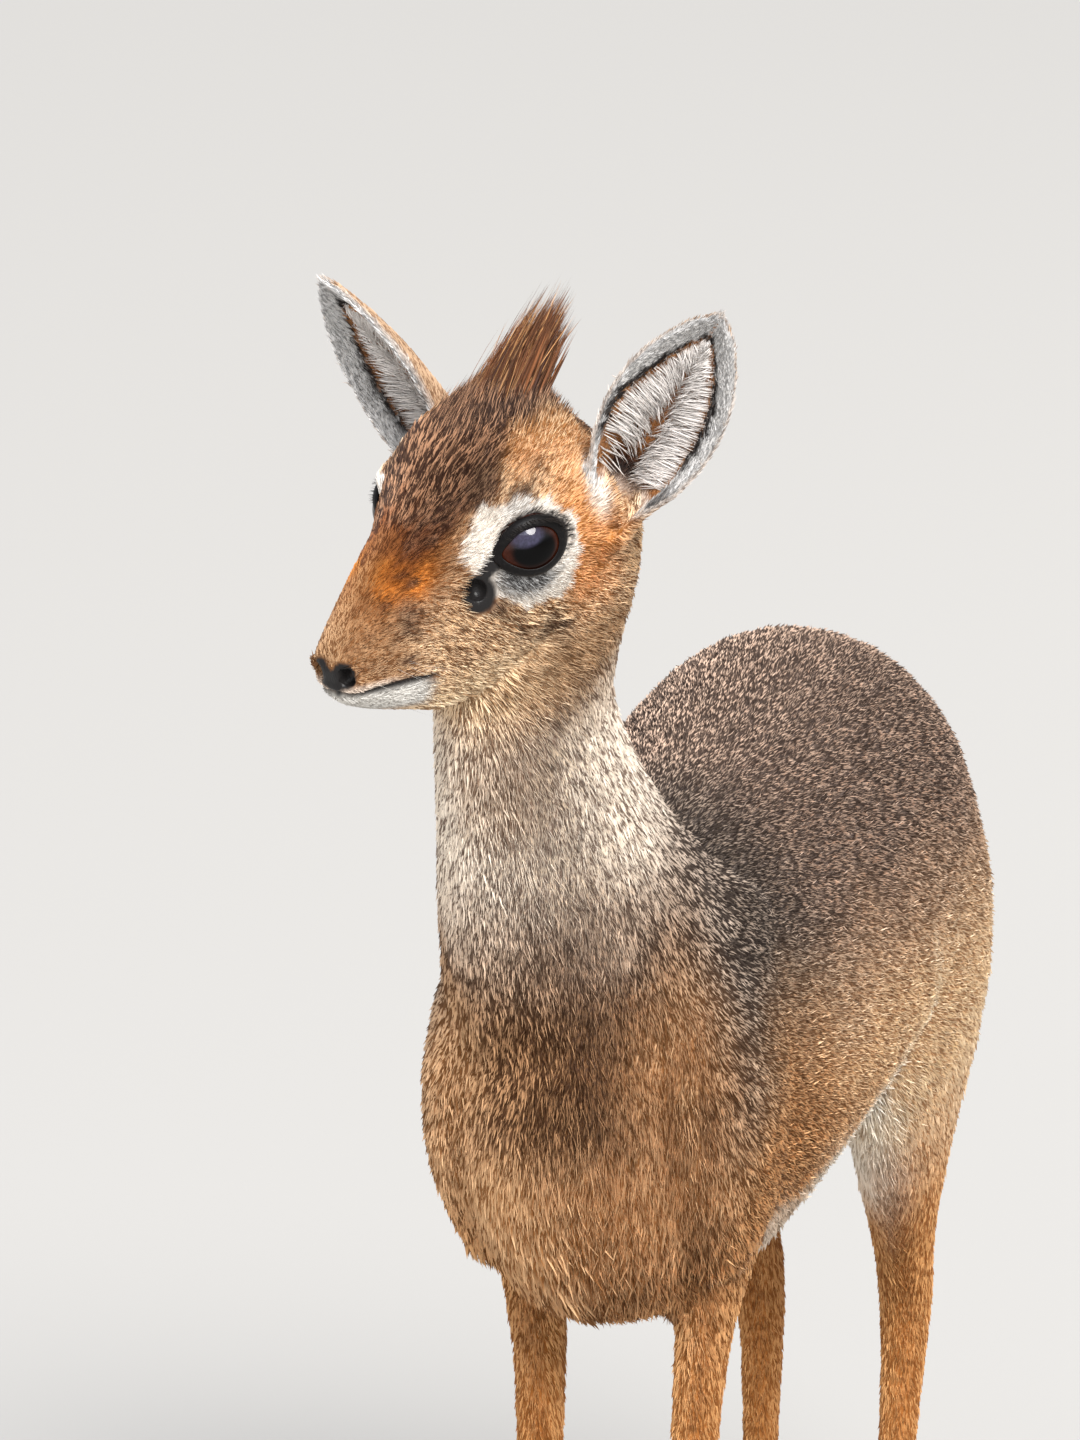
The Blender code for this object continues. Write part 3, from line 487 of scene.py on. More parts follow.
def bodyCoat(q, n):  # zones of neck, trunk and legs, each laid over the one before
    x, y, z = q.T
    patches = drift(q, 55, 11)
    z = z + 0.006 * patches
    layers, add = layerList("back", len(q))
    add("shoulder", fade(-0.085, -0.02, y) * 0.9)
    add("flank", fade(0.268, 0.345, z + 0.10 * np.clip(-y, 0, 0.1)) * ease(-0.14, -0.08, y))
    add("lowFlank", fade(0.232, 0.292, z) * fade(0.00, 0.05, y) * 0.9)
    mirrored = beside(np.abs(x), y, z)
    add("lowFlank", blob(mirrored, (0.046, -0.092, 0.258), (0.030, 0.050, 0.048), 0.6))
    inner = np.maximum(ease(0.1, 0.6, -n[:, 0] * np.sign(x)), ease(0.15, 0.65, -n[:, 1]))
    add("thigh", ease(0.05, 0.08, y) * fade(0.255, 0.330, z) * (0.20 + 0.80 * inner))
    neckLow = aboveNeckBase(y, z)
    cream = ease(-0.030, 0.040, neckLow + 0.014 * patches - 0.032 * ease(-0.170, -0.140, y))
    add("neck", cream * fade(-0.134, -0.094, y + 0.01 * patches) * 0.95)
    add("throat", blob(q, (-0.012, -0.196, 0.405), (0.018, 0.015, 0.022), 0.7) * 0.4)
    add("throat", ease(0.412, 0.445, z) * fade(-0.145, -0.120, y) * 0.35)
    front = fade(-0.150, -0.120, y)
    add("chest", front * fade(0.306, 0.388, z))
    add("chestPatch", blob(q, (-0.006, -0.160, 0.302), (0.022, 0.022, 0.024), 0.6) * 0.7)
    add("chestLow", blob(q, (0.031, -0.140, 0.302), (0.014, 0.026, 0.030), 0.7) * 0.6)
    add("chestLow", blob(q, (-0.042, -0.150, 0.300), (0.014, 0.026, 0.030), 0.7) * 0.5)
    add("chestLow", front * fade(0.262, 0.292, z))
    under = fade(-0.66, -0.34, n[:, 2] + 0.10 * patches)
    add("belly", under * fade(0.262, 0.292, z) * ease(-0.110, -0.080, y) * (y < 0.15))
    add("leg", fade(0.172, 0.250, z + 0.015 * (0.5 - np.abs(n[:, 0]))))
    for k in range(len(foldLine) - 1):
        first, step = np.array(foldLine[k]), np.array(foldLine[k + 1]) - np.array(foldLine[k])
        t = np.clip((mirrored - first) @ step / (step @ step), 0, 1)
        reach = np.linalg.norm(mirrored - first - t[:, None] * step, axis=1)
        edge = fade(0.0020, 0.0055, reach + 0.0010 * patches)
        add("thigh" if k == 0 else "belly", edge * (0.35 + 0.35 * t if k == 0 else 0.9))
    inside = ease(0.1, 0.6, -n[:, 0] * np.sign(x))
    add("belly", inside * ease(0.06, 0.09, y) * ease(0.185, 0.215, z) * fade(0.25, 0.28, z) * 0.8)
    add("thigh", blob(q, (0, 0.196, 0.345), (0.02, 0.02, 0.02), 0.5) * 0.3)
    add("belly", blob(q, (0, 0.190, 0.305), (0.020, 0.014, 0.022), 0.5) * 0.8)
    return layers


def headShare(q):  # 1 on the head's side of the throat
    place, normal = np.array((-0.0095, -0.1665, 0.4440)), unit(np.array((-0.10, -0.62, 0.78)))
    return ease(-0.008, 0.014, (q - place) @ normal)


def placesOf(points):  # in the body's own place, in the head's, and how far they belong to the head
    q = points - bodyShift
    return q, inHead(points), headShare(q)


# Dark tone, light tone, black share and bare share of the coat at each point.
def paint(points, normals, ear):
    q, h, onHead = placesOf(points)
    dark, light, ticks = np.zeros((len(q), 3)), np.zeros((len(q), 3)), np.zeros(len(q))

    def lay(layers, whole):
        for name, share in layers:
            s = np.clip(share * whole, 0, 1)
            zoneDark, zoneLight, zoneTicks = zones[name]
            dark[:] += s[:, None] * (np.array(zoneDark) - dark)
            light[:] += s[:, None] * (np.array(zoneLight) - light)
            ticks[:] += s * (zoneTicks - ticks)

    lay(bodyCoat(q, normals), np.ones(len(q)))
    layers, bare = headCoat(h)
    lay(layers, onHead)
    lay(earCoat(ear), ear["on"])
    return dark, light, ticks, bare * onHead * (1 - ear["on"])


# Ears, by the same leaf as the solids: each cross line is an arc, nearly shut at the root and open at the tip

earPlan = {
    "length": 0.0765, "halfWidth": 0.0180, "bow": 0.002, "wall": 0.0022,
    "along": (-0.16, -0.06, 0.04, 0.14, 0.26, 0.38, 0.50, 0.60, 0.72, 0.82, 0.90, 0.96, 1.00),
    "share": (0.40, 0.44, 0.50, 0.66, 0.84, 0.96, 1.00, 0.97, 0.84, 0.66, 0.46, 0.27, 0.06),
    "arc": (296, 282, 258, 222, 184, 152, 130, 118, 106, 96, 88, 80, 76),
    "left": ((0.0290, 0.0335, -0.0030), (0.494, 0.345, 0.798), (0.704, -0.556, 0.441)),
    "right": ((-0.0315, 0.0275, -0.0050), (-0.425, -0.096, 0.900), (-0.25, -0.89, 0.38)),
}


def throughTable(keys, values, at):  # a smooth curve through each named station
    keys, values = np.array(keys, float), np.array(values, float)
    slope = np.gradient(values, keys)
    i = np.clip(np.searchsorted(keys, at) - 1, 0, len(keys) - 2)
    step = keys[i + 1] - keys[i]
    t = (at - keys[i]) / step
    return (
        (2 * t**3 - 3 * t**2 + 1) * values[i] + (t**3 - 2 * t**2 + t) * step * slope[i]
        + (3 * t**2 - 2 * t**3) * values[i + 1] + (t**3 - t**2) * step * slope[i + 1]
    )


# Middle of the ear's wall at t along and s across from -1 to 1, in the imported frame, with its inward side.
def earLeaf(hand, t, s):
    root, tip, facing = (np.array(v) for v in earPlan[hand])
    axis = unit(tip)
    across = unit(np.cross(axis, facing))
    face = unit(np.cross(across, axis))
    half = earPlan["halfWidth"] * np.maximum(throughTable(earPlan["along"], earPlan["share"], t), 0.04)
    halfArc = np.radians(throughTable(earPlan["along"], earPlan["arc"], t)) / 2
    radius = half / np.sin(np.minimum(halfArc, np.pi / 2))
    angle = s * halfArc
    bow = earPlan["bow"] * (2 * t - np.sin(np.pi * np.clip(t, 0, None)))
    cup = radius * (1 - np.cos(angle)) - radius * (1 - np.cos(halfArc)) * 0.5 + bow
    place = (
        root + axis * (earPlan["length"] * t)[:, None]
        + across * (radius * np.sin(angle))[:, None] + face * cup[:, None]
    )
    inward = face * np.cos(angle)[:, None] - across * np.sin(angle)[:, None]
    return fromHead(place), inward @ headAxes.T


# Where each point is on an ear: t along, s across, whether it is on the cup's side, and how far it belongs.
def nearEar(points, normals):
    found = {k: np.zeros(len(points)) for k in ("t", "s", "inner", "on", "hand")}
    ways, crosses = np.meshgrid(np.linspace(-0.1, 1, 56), np.linspace(-1, 1, 33), indexing="ij")
    t, s = ways.ravel(), crosses.ravel()
    for hand in sideOf:
        places, inward = earLeaf(hand, t, s)
        low, high = places.min(0) - 0.004, places.max(0) + 0.004
        picked = np.flatnonzero(np.all((points > low) & (points < high), axis=1))
        for chunk in np.array_split(picked, max(1, len(picked) // 3000)):
            away = points[chunk][:, None, :] - places[None]
            distance = np.einsum("ijk,ijk->ij", away, away)
            nearest = distance.argmin(1)
            reach = np.sqrt(distance[np.arange(len(chunk)), nearest])
            on = fade(0.0026, 0.0040, reach) * ease(0.00, 0.10, t[nearest])
            keep = on > 0
            rows, near = chunk[keep], nearest[keep]
            found["t"][rows], found["s"][rows], found["on"][rows] = t[near], s[near], on[keep]
            found["inner"][rows] = np.einsum("ij,ij->i", normals[rows], inward[near]) > 0
            found["hand"][rows] = sideOf[hand]
    return found


# Zones of the ears: brown backs, grey rims, a black line round the cup, brown skin and a dark canal in it.
# The line's place across is 0.68 of the half width, drawing in to nothing at the tip, and near the front
# edge in the lower half.
def earCoat(ear):
    t, s, inner = ear["t"], ear["s"], ear["inner"] > 0.5
    rearward = s * ear["hand"]
    s = np.abs(s)
    lineAt = 0.68 * np.sqrt(np.clip(1 - (np.clip(t - 0.40, 0, None) / 0.47) ** 2, 0.0004, 1))
    frontLow = fade(0.42, 0.60, t) * (rearward < 0)
    lineAt = lineAt + (0.90 - lineAt) * frontLow
    reach = s / lineAt
    wobble = 0.05 * np.sin(t * 61) + 0.04 * np.sin(t * 113 + 1)
    lineHalf = np.where(ear["hand"] > 0, 0.12, 0.075)
    line = bell((reach - 1 + wobble) / lineHalf) * ease(0.20, 0.32, t) * (t < 0.95)
    line = np.maximum(line, bell((t - 0.865) / 0.022) * (s < 0.25))
    within = fade(0.92, 1.02, reach)
    canal = fade(0.16, 0.27, t) * fade(0.16, 0.42, np.abs(rearward + 0.15))
    lowRim = fade(0.14, 0.26, t) * ease(0.62, 0.80, s) * (rearward > 0)
    outerRim = ease(0.86, 1.0, s) + ease(0.93, 1.0, t)
    rootShade = fade(0.10, 0.20, t) * ease(0.05, 0.12, t) * fade(0.25, 0.5, s)
    return [
        ("earBack", np.ones(len(t))),
        ("earRim", inner * 1.0),
        ("earSkin", inner * within),
        ("earLine", inner * np.clip(line * 1.2, 0, 1)),
        ("earLine", inner * (lowRim * 0.8)),
        ("earCanal", inner * canal),
        ("earLine", inner * rootShade),
        ("white", inner * (fade(0.02, 0.10, t) * 0.8)),
        ("earRim", ~inner * (np.clip(outerRim, 0, 1) * 0.7)),
    ]


# Skin: the flesh nodes grown together, smoothed, sunk by the coat's depth, carved at eyes, nose and mouth

skinPlan = {
    "swell": 0.00045, "voxel": 0.0010, "bodySmoothing": 22, "smoothing": 5, "triangles": 178000,
    "eyeSunk": 0.0012, "mouthDepth": 0.0016, "nostrilDepth": 0.0032, "glandDepth": 0.0012,
}
fleshStarts = ("head", "neck", "torso", "tail", "fore", "gaskin", "hind", "ear")
fleshNodes = sorted(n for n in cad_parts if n.startswith(fleshStarts))


def grownFlesh():
    whole = bmesh.new()
    for name in fleshNodes:
        part = bmesh.new()
        part.from_mesh(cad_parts[name].data)
        bmesh.ops.remove_doubles(part, verts=part.verts, dist=1e-6)
        part.normal_update()
        for v in part.verts:
            v.co += v.normal * skinPlan["swell"]
        mesh = bpy.data.meshes.new("part")
        part.to_mesh(mesh)
        part.free()
        whole.from_mesh(mesh)
        bpy.data.meshes.remove(mesh)
    for side in (-1, 1):
        centre = fromHead(eyeAxes(side)[0])
        place = Matrix.Translation(centre)
        radius = eyePlan["radius"] + 0.0003 + skinPlan["swell"]
        bmesh.ops.create_icosphere(whole, subdivisions=4, radius=radius, matrix=place)
    mesh = bpy.data.meshes.new("flesh")
    whole.to_mesh(mesh)
    whole.free()
    return placed("flesh", mesh)


def applied(piece):
    bpy.context.view_layer.update()
    graph = bpy.context.evaluated_depsgraph_get()
    mesh = bpy.data.meshes.new_from_object(piece.evaluated_get(graph))
    old = piece.data
    piece.modifiers.clear()
    piece.data = mesh
    bpy.data.meshes.remove(old)
    return piece


sinkPlan = {"trunk": 0.0016, "belly": 0.0008, "leg": 0.0009, "head": 0.00055, "ear": 0.0002}


def coatDepth(q, onHead, onEar):  # how far the skin lies inside the solids
    trunk = sinkPlan["trunk"] + sinkPlan["belly"] * fade(0.21, 0.25, q[:, 2])
    leg = fade(0.19, 0.24, q[:, 2])
    depth = trunk * (1 - leg) + sinkPlan["leg"] * leg
    depth = depth * (1 - onHead) + sinkPlan["head"] * onHead
    return depth * (1 - onEar) + sinkPlan["ear"] * onEar


# Moves the skin's points under the eyes, into the mouth line and into the nostrils and glands.
def carve(points, normals):
    h = inHead(points)
    inward = normals @ headAxes
    depth = skinPlan["mouthDepth"] * mouthMark(h)
    y, z = h[:, 1], h[:, 2]
    lipDrop = z - mouthHeight(y)
    lips = fade(-0.040, -0.034, y) * (z < 0)
    depth -= 0.0005 * lips * bell((lipDrop - 0.0016) / 0.0011)
    depth -= 0.0004 * lips * bell((lipDrop + 0.0017) / 0.0011)
    for side in (-1, 1):
        slot = np.array((side * 0.0068, -0.0190))
        away = h[:, [0, 2]] - slot
        slant = math.radians(28) * side
        u = away[:, 0] * math.cos(slant) - away[:, 1] * math.sin(slant)
        v = away[:, 0] * math.sin(slant) + away[:, 1] * math.cos(slant)
        hole = np.exp(-((u / 0.0016) ** 2) - (v / 0.0030) ** 2) * fade(-0.0600, -0.0560, y)
        depth += skinPlan["nostrilDepth"] * hole
        a, b, c = inEye(h, side).T
        pit = np.exp(-(((a + 0.0190) / 0.0021) ** 2) - ((b + 0.0095) / 0.0026) ** 2) * (c > -0.008)
        depth += skinPlan["glandDepth"] * pit
    h = h - inward * depth[:, None]
    for side in (-1, 1):
        centre = eyeAxes(side)[0]
        a, b, c = inEye(h, side).T
        opening = np.hypot(a / (eyePlan["wide"] + 0.0003), b / (eyePlan["high"] + 0.0003))
        inside = fade(0.94, 1.06, opening) * (c > 0)
        sunk = centre + unit(h - centre) * (eyePlan["radius"] - skinPlan["eyeSunk"])
        h = h + (sunk - h) * inside[:, None]
    return fromHead(h)


def makeSkin():
    piece = grownFlesh()
    piece.name = "skin"
    grow = piece.modifiers.new("grow", "REMESH")
    grow.mode, grow.voxel_size = "VOXEL", skinPlan["voxel"] * 1.0
    applied(piece)
    points = pointsOf(piece.data)
    q = points - bodyShift
    fine = np.maximum(headShare(q), (q[:, 2] > 0.47).astype(float))
    body = piece.vertex_groups.new(name="body")
    body.add(np.flatnonzero(fine < 0.5).tolist(), 1.0, "REPLACE")
    rounds = (("bodySmooth", "body", skinPlan["bodySmoothing"]), ("allSmooth", "", skinPlan["smoothing"]))
    for name, group, passes in rounds:
        soften = piece.modifiers.new(name, "SMOOTH")
        soften.factor, soften.iterations, soften.vertex_group = 0.5, passes, group
    triangles = 2 * len(piece.data.polygons)
    fewer = piece.modifiers.new("fewer", "DECIMATE")
    fewer.ratio = min(1.0, skinPlan["triangles"] / triangles)
    fewer.use_collapse_triangulate, fewer.vertex_group = True, "body"
    applied(piece)
    mesh = piece.data
    points, normals = pointsOf(mesh), normalsOf(mesh)
    q = points - bodyShift
    ear = nearEar(points, normals)
    sunk = skinPlan["swell"] + coatDepth(q, headShare(q), ear["on"])
    points = carve(points - normals * sunk[:, None], normals)
    mesh.vertices.foreach_set("co", points.astype(np.float32).ravel())
    mesh.update()
    mesh.shade_smooth()
    return piece, ear


skin, skinEar = makeSkin()
print("skin", len(skin.data.polygons), "faces")


def skinMaterial():
    made, w, shader = newMaterial("skinUnderCoat", {"Roughness": 0.8, "Specular IOR Level": 0.22})
    dark, light = w.attribute("dark"), w.attribute("light")
    share, bare, _ = w.attribute("coat", 1).parts()
    grain = w.noise(620, 3, (1, 0.6, 0.6), 0.6)
    hairs = w.noise(1500, 2, (1, 0.35, 0.35), 0.6)
    blend = (grain * 0.6 + hairs * 0.4).ramp(0.42, 0.62)
    tone = dark.mixed(light, blend * (1.1 - share) * 0.6 * (1 - bare))
    pebble = w.noise(1400, 2)
    height = hairs * (1 - bare) + pebble * bare * 0.5
    feed(w, shader, Base_Color=tone, Roughness=0.85 - bare * 0.5, Normal=w.bump(height, 0.0004, 0.7))
    return made


skinPoints, skinNormals = pointsOf(skin.data), normalsOf(skin.data)
skinDark, skinLight, skinTicks, skinBare = paint(skinPoints, skinNormals, skinEar)
addColour(skin.data, "dark", skinDark)
addColour(skin.data, "light", skinLight)
addVector(skin.data, "coat", beside(skinTicks, skinBare, skinTicks * 0))
finishPiece(skin, skinMaterial(), "grizzled_coat", *fleshNodes)
print("skin painted")


# Coat: closed four-sided tufts that lie along the skin, their roots sunk and their tips lifted

coatPlan = {
    "count": 372000, "sink": 0.0004, "ridgeAt": 0.34, "jitter": 0.20,
    "mostPerPiece": 48500, "patch": 0.003,
}


# The way the hairs point: back over face and trunk, down neck, chest and legs, out along the ears.
def lieOfCoat(q, h, n, onHead, ear):
    y, z = q[:, 1], q[:, 2]
    along = np.zeros_like(q)
    sideways = np.abs(n[:, 0])
    along[:, 1], along[:, 2] = 1.0, -0.45 * sideways
    chest = fade(-0.150, -0.100, y)[:, None]
    along += chest * (np.array((0, 0.15, -1.0)) - along)
    neckLow = ease(-0.030, 0.020, aboveNeckBase(y, z))[:, None]
    neckLow = neckLow * fade(-0.110, -0.060, y)[:, None]
    along += neckLow * (np.array((0, 0.40, -1.0)) - along)
    legs = fade(0.20, 0.255, z)[:, None] * (np.abs(n[:, 2]) < 0.8)[:, None]
    along += legs * (np.array((0, 0.12, -1.0)) - along)
    tail = (ease(0.186, 0.196, y) * (z > 0.28))[:, None]
    along += tail * (np.array((0, 0.35, -1.0)) - along)
    wide = np.abs(h[:, 0])
    face = np.zeros_like(q)
    face[:, 1] = 1.0
    down = 0.85 * ease(-0.004, 0.016, -h[:, 2]) * ease(-0.050, -0.030, h[:, 1])
    face[:, 2] = 0.30 * ease(0.0, 0.02, h[:, 2]) - down
    face[:, 0] = np.sign(h[:, 0]) * 0.15 * ease(0.002, 0.02, wide)
    for side in (-1, 1):
        centre = eyeAxes(side)[0]
        away = h - centre
        near = bell(np.linalg.norm(away, axis=1) / 0.017)[:, None]
        face += near * 0.9 * unit(away)
    onFace = face @ headAxes.T
    along += onHead[:, None] * (onFace - along)
    for hand, side in sideOf.items():
        axis = headAxes @ unit(np.array(earPlan[hand][1]))
        mine = (ear["on"] * (np.sign(h[:, 0]) == side))[:, None]
        along += mine * (axis - along)
    return unit(alongSkin(along, n))


def alongSkin(ways, normals):  # what is left of each way once its part along the normal is gone
    return ways - normals * np.einsum("ij,ij->i", ways, normals)[:, None]


# The lie smoothed over the skin: each pass moves each point's lie toward its neighbours' mean, by its share.
def combed(along, passes, loose):
    ends = np.empty(2 * len(skin.data.edges), np.int32)
    skin.data.edges.foreach_get("vertices", ends)
    a, b = ends.reshape(-1, 2).T
    here, there = np.concatenate((a, b)), np.concatenate((b, a))
    count = np.bincount(here, minlength=len(along))[:, None]
    for _ in range(passes):
        total = np.stack([np.bincount(here, along[there, k], len(along)) for k in range(3)], axis=1)
        along = alongSkin(along + loose[:, None] * (total / np.maximum(count, 1) - along), skinNormals)
    return unit(along)


# Length, width, lift of the tip and tufts per square millimetre, by region.
def coatSizes(q, h, n, onHead, ear, bare):
    y, z = q[:, 1], q[:, 2]
    length = np.full(len(q), 0.0050)
    width = np.full(len(q), 0.00056)
    lift = np.full(len(q), 0.0013)
    dense = np.full(len(q), 1.50)

    def toward(share, values):
        for field, value in zip((length, width, lift, dense), values):
            field += share * (value - field)

    neckLow = ease(-0.020, 0.030, aboveNeckBase(y, z)) * fade(-0.110, -0.060, y)
    toward(neckLow, (0.0056, 0.00044, 0.0011, 2.10))
    toward(fade(-0.150, -0.120, y) * fade(0.27, 0.33, z), (0.0066, 0.00046, 0.0014, 2.00))
    toward(fade(-0.145, -0.095, y) * fade(0.225, 0.255, z), (0.0110, 0.00050, 0.0026, 1.90))
    toward(fade(0.235, 0.275, z) * ease(0.45, 0.75, -n[:, 2]), (0.0100, 0.00066, 0.0026, 1.20))
    toward(fade(0.190, 0.235, z), (0.0042, 0.00046, 0.0008, 1.70))
    toward(fade(0.100, 0.150, z), (0.0032, 0.00042, 0.0006, 1.80))
    toward(ease(0.186, 0.196, y) * (z > 0.28), (0.0085, 0.00055, 0.0020, 1.8))
    toward(onHead, (0.0042, 0.00038, 0.00075, 3.4))
    toward(onHead * blob(h, (0, 0.004, 0.030), (0.017, 0.028, 0.012), 0.5), (0.0062, 0.00040, 0.0017, 3.2))
    front = onHead * fade(-0.045, -0.015, h[:, 1])
    toward(front, (0.0024, 0.00030, 0.0004, 5.2))
    toward(onHead * fade(-0.056, -0.046, h[:, 1]), (0.0018, 0.00027, 0.0003, 6.2))
    toward(onHead * blob(h, (0, -0.012, -0.046), (0.014, 0.030, 0.008), 0.5), (0.0060, 0.00036, 0.0018, 3.6))
    for side in (-1, 1):
        reach = np.linalg.norm(h - eyeAxes(side)[0], axis=1)
        toward(onHead * fade(0.018, 0.026, reach), (0.0026, 0.00029, 0.0005, 5.4))
    lips = onHead * bell((h[:, 2] - mouthHeight(h[:, 1]) - 0.0012) / 0.0016) * (h[:, 1] < -0.034)
    toward(lips, (0.0015, 0.00026, 0.0003, 7.0))
    toward(ear["on"], (0.0030, 0.00034, 0.0004, 2.6))
    inner = ear["on"] * (ear["inner"] > 0.5)
    toward(inner, (0.0026, 0.00028, 0.0005, 3.0))
    dense *= fade(0.3, 0.6, bare)
    return length, width, lift, dense


# Roots spread over the skin by density: triangle of each root and its place in it.
def scatter(count):
    mesh = skin.data
    mesh.calc_loop_triangles()
    corners = np.empty(3 * len(mesh.loop_triangles), np.int32)
    mesh.loop_triangles.foreach_get("vertices", corners)
    corners = corners.reshape(-1, 3)
    q, h, onHead = placesOf(skinPoints)
    dense = coatSizes(q, h, skinNormals, onHead, skinEar, skinBare)[3]
    a, b, c = (skinPoints[corners[:, k]] for k in range(3))
    area = np.linalg.norm(np.cross(b - a, c - a), axis=1) / 2
    weight = area * dense[corners].mean(1)
    order = np.argsort((a[:, 2] * 400).astype(int) * 10000 + a[:, 1] * 1000, kind="stable")
    total = np.cumsum(weight[order])
    spots = (np.arange(count) + dice.random(count)) / count * total[-1]
    triangle = order[np.searchsorted(total, spots)]
    u, v = dice.random(count), dice.random(count)
    flip = u + v > 1
    u[flip], v[flip] = 1 - u[flip], 1 - v[flip]
    shares = beside(1 - u - v, u, v)
    return corners[triangle], shares


# Four corners a tuft: two at the root, a ridge partway and a tip; ridge and tip stand off the skin.
def tuftPoints(root, along, normal, length, width, lift):
    across = np.cross(along, normal)
    sink = normal * coatPlan["sink"]
    ridge = root + along * (length * coatPlan["ridgeAt"])[:, None] + normal * (lift * 0.72)[:, None]
    tip = root + along * length[:, None] + normal * lift[:, None]
    half = across * (width / 2)[:, None]
    return beside(root - half - sink, root + half - sink, ridge, tip)


tuftFaces = np.array(((0, 2, 3), (1, 3, 2), (0, 3, 1), (0, 1, 2)))
tuftAlong = np.array((0.0, 0.0, coatPlan["ridgeAt"], 1.0))
tuftMap = np.array(((-0.5, -0.5), (0.5, -0.5), (0.0, 0.0), (0.0, 0.5)))


# The skin unrolled about the region's own line: the turn round it, and the way along it, from 0 to 1.
def rolledFlat(points, region):
    if region in ("face", "earsCoat"):
        h = inHead(points)
        turn, way = np.arctan2(h[:, 0], h[:, 2] + 0.005), h[:, 1] + 0.3 * h[:, 2]
    elif region == "legs":
        q = points - bodyShift
        column = np.where(q[:, 0] > 0, 0, 1) + 2 * (q[:, 1] > 0)
        centreY = np.where(q[:, 1] > 0, 0.14, -0.097)
        turn = np.arctan2(np.abs(q[:, 0]) - 0.027, q[:, 1] - centreY) / (2.1 * np.pi) + column
        way = q[:, 2]
    elif region == "neckCoat":
        q = points - bodyShift
        turn, way = np.arctan2(q[:, 0] + 0.004, -(q[:, 1] + 0.150)), q[:, 2]
    else:
        q = points - bodyShift
        turn, way = np.arctan2(q[:, 0], q[:, 2] - 0.29), q[:, 1]
    both = beside(turn, way)
    low, high = both.min(0), both.max(0)
    return 0.01 + 0.98 * (both - low) / (high - low)


# Two kinds of tufts: dark ones, and ones with a light band between a dark base and a darker tip.
def coatMaterial():
    made, w, shader = newMaterial("coatHairs", {"Roughness": 0.66, "Specular IOR Level": 0.35})
    dark, light, grizzle = w.attribute("dark"), w.attribute("light"), w.attribute("dark", 3)
    along, tone, share = w.attribute("coat", 1).parts()
    start = along - grizzle * 0.37
    band = start.ramp(0.08, 0.30) * (1 - along.ramp(0.90, 1.0) * (0.35 + grizzle * 0.40))
    banded = (tone - share).ramp(-0.05, 0.05)
    depth = tone * 7.0
    vary = depth - depth.maths("FLOOR", depth)
    colour = dark.mixed(light, band * banded * (0.76 + vary * 0.24) + (1 - banded) * vary * 0.10)
    shade = w.noise(70, 2).ramp(0.2, 0.8)
    colour = colour.mixed(w.colour((0.05, 0.03, 0.02)), (1 - shade) * 0.10)
    feed(w, shader, Base_Color=colour)
    return made


coatFinish = coatMaterial()


def makeCoat():
    count = coatPlan["count"] // 1
    corners, shares = scatter(count)
    root = np.einsum("ijk,ij->ik", skinPoints[corners], shares)
    normal = unit(np.einsum("ijk,ij->ik", skinNormals[corners], shares))
    ear = {k: np.einsum("ij,ij->i", skinEar[k][corners], shares) for k in skinEar}
    q, h, onHead = placesOf(root)
    dark, light, ticks, bare = paint(root, normal, ear)
    keep = bare < 0.5
    z = q[:, 2]
    grizzle = (1 - onHead) * (1 - ear["on"]) * ease(0.205, 0.270, z)
    grizzle = grizzle * (0.45 + 0.55 * ease(-0.155, -0.115, q[:, 1]))
    grizzle = grizzle * (0.60 + 0.40 * ease(0.300, 0.385, z + 0.35 * np.clip(-q[:, 1], 0, 0.2)))
    dark = np.concatenate((dark, grizzle[:, None]), axis=1)
    skinQ, skinH, skinHead = placesOf(skinPoints)
    lie = lieOfCoat(skinQ, skinH, skinNormals, skinHead, skinEar)
    lie = combed(lie, 60, 0.75 * (1 - 0.85 * np.maximum(skinHead, skinEar["on"])))
    along = np.einsum("ijk,ij->ik", lie[corners], shares)
    along = unit(alongSkin(along, normal))
    length, width, lift, _ = coatSizes(q, h, normal, onHead, ear, bare)
    wave = np.sin(q[:, 1] * 260 + 3 * np.sin(q[:, 2] * 190)) * np.sin(q[:, 2] * 230 + q[:, 0] * 310)
    across = np.cross(normal, along)
    sway = coatPlan["jitter"] * dice.normal(size=count) + 0.10 * wave
    along = unit(along + across * sway[:, None])
    length = length * (1 + 0.22 * dice.normal(size=count).clip(-2, 2)) * (1 + 0.10 * wave)
    lift = lift * np.clip(1 + 0.35 * dice.normal(size=count), 0.25, 2.0)
    points = tuftPoints(root, along, normal, length, width, lift)
    fine = np.where(np.maximum(onHead, ear["on"]) > 0.5, 1250.0, 1000.0)[:, None]
    clump = drift(q * fine / 640, 640, 17) + 0.50 * dice.normal(size=count)
    tone = np.empty(count)
    tone[np.argsort(clump, kind="stable")] = (np.arange(count) + 0.5) / count
    region = np.where(ear["on"] > 0.5, 1, np.where(onHead > 0.5, 0, 4))
    trunk = region == 4
    region[trunk & (q[:, 2] < 0.215)] = 2
    neckLow = aboveNeckBase(q[:, 1], q[:, 2])
    region[trunk & (neckLow > 0) & (q[:, 1] < -0.06)] = 3
    names = ("face", "earsCoat", "legs", "neckCoat", "trunk")
    for number, name in enumerate(names):
        mine = np.flatnonzero((region == number) & keep)
        mine = mine[np.argsort(q[mine, 0], kind="stable")]
        pieces = max(1, math.ceil(len(mine) / coatPlan["mostPerPiece"]))
        for k, rows in enumerate(np.array_split(mine, pieces)):
            coatPiece(f"{name}{k + 1}", name, rows, points, root, tone, dark, light, ticks)


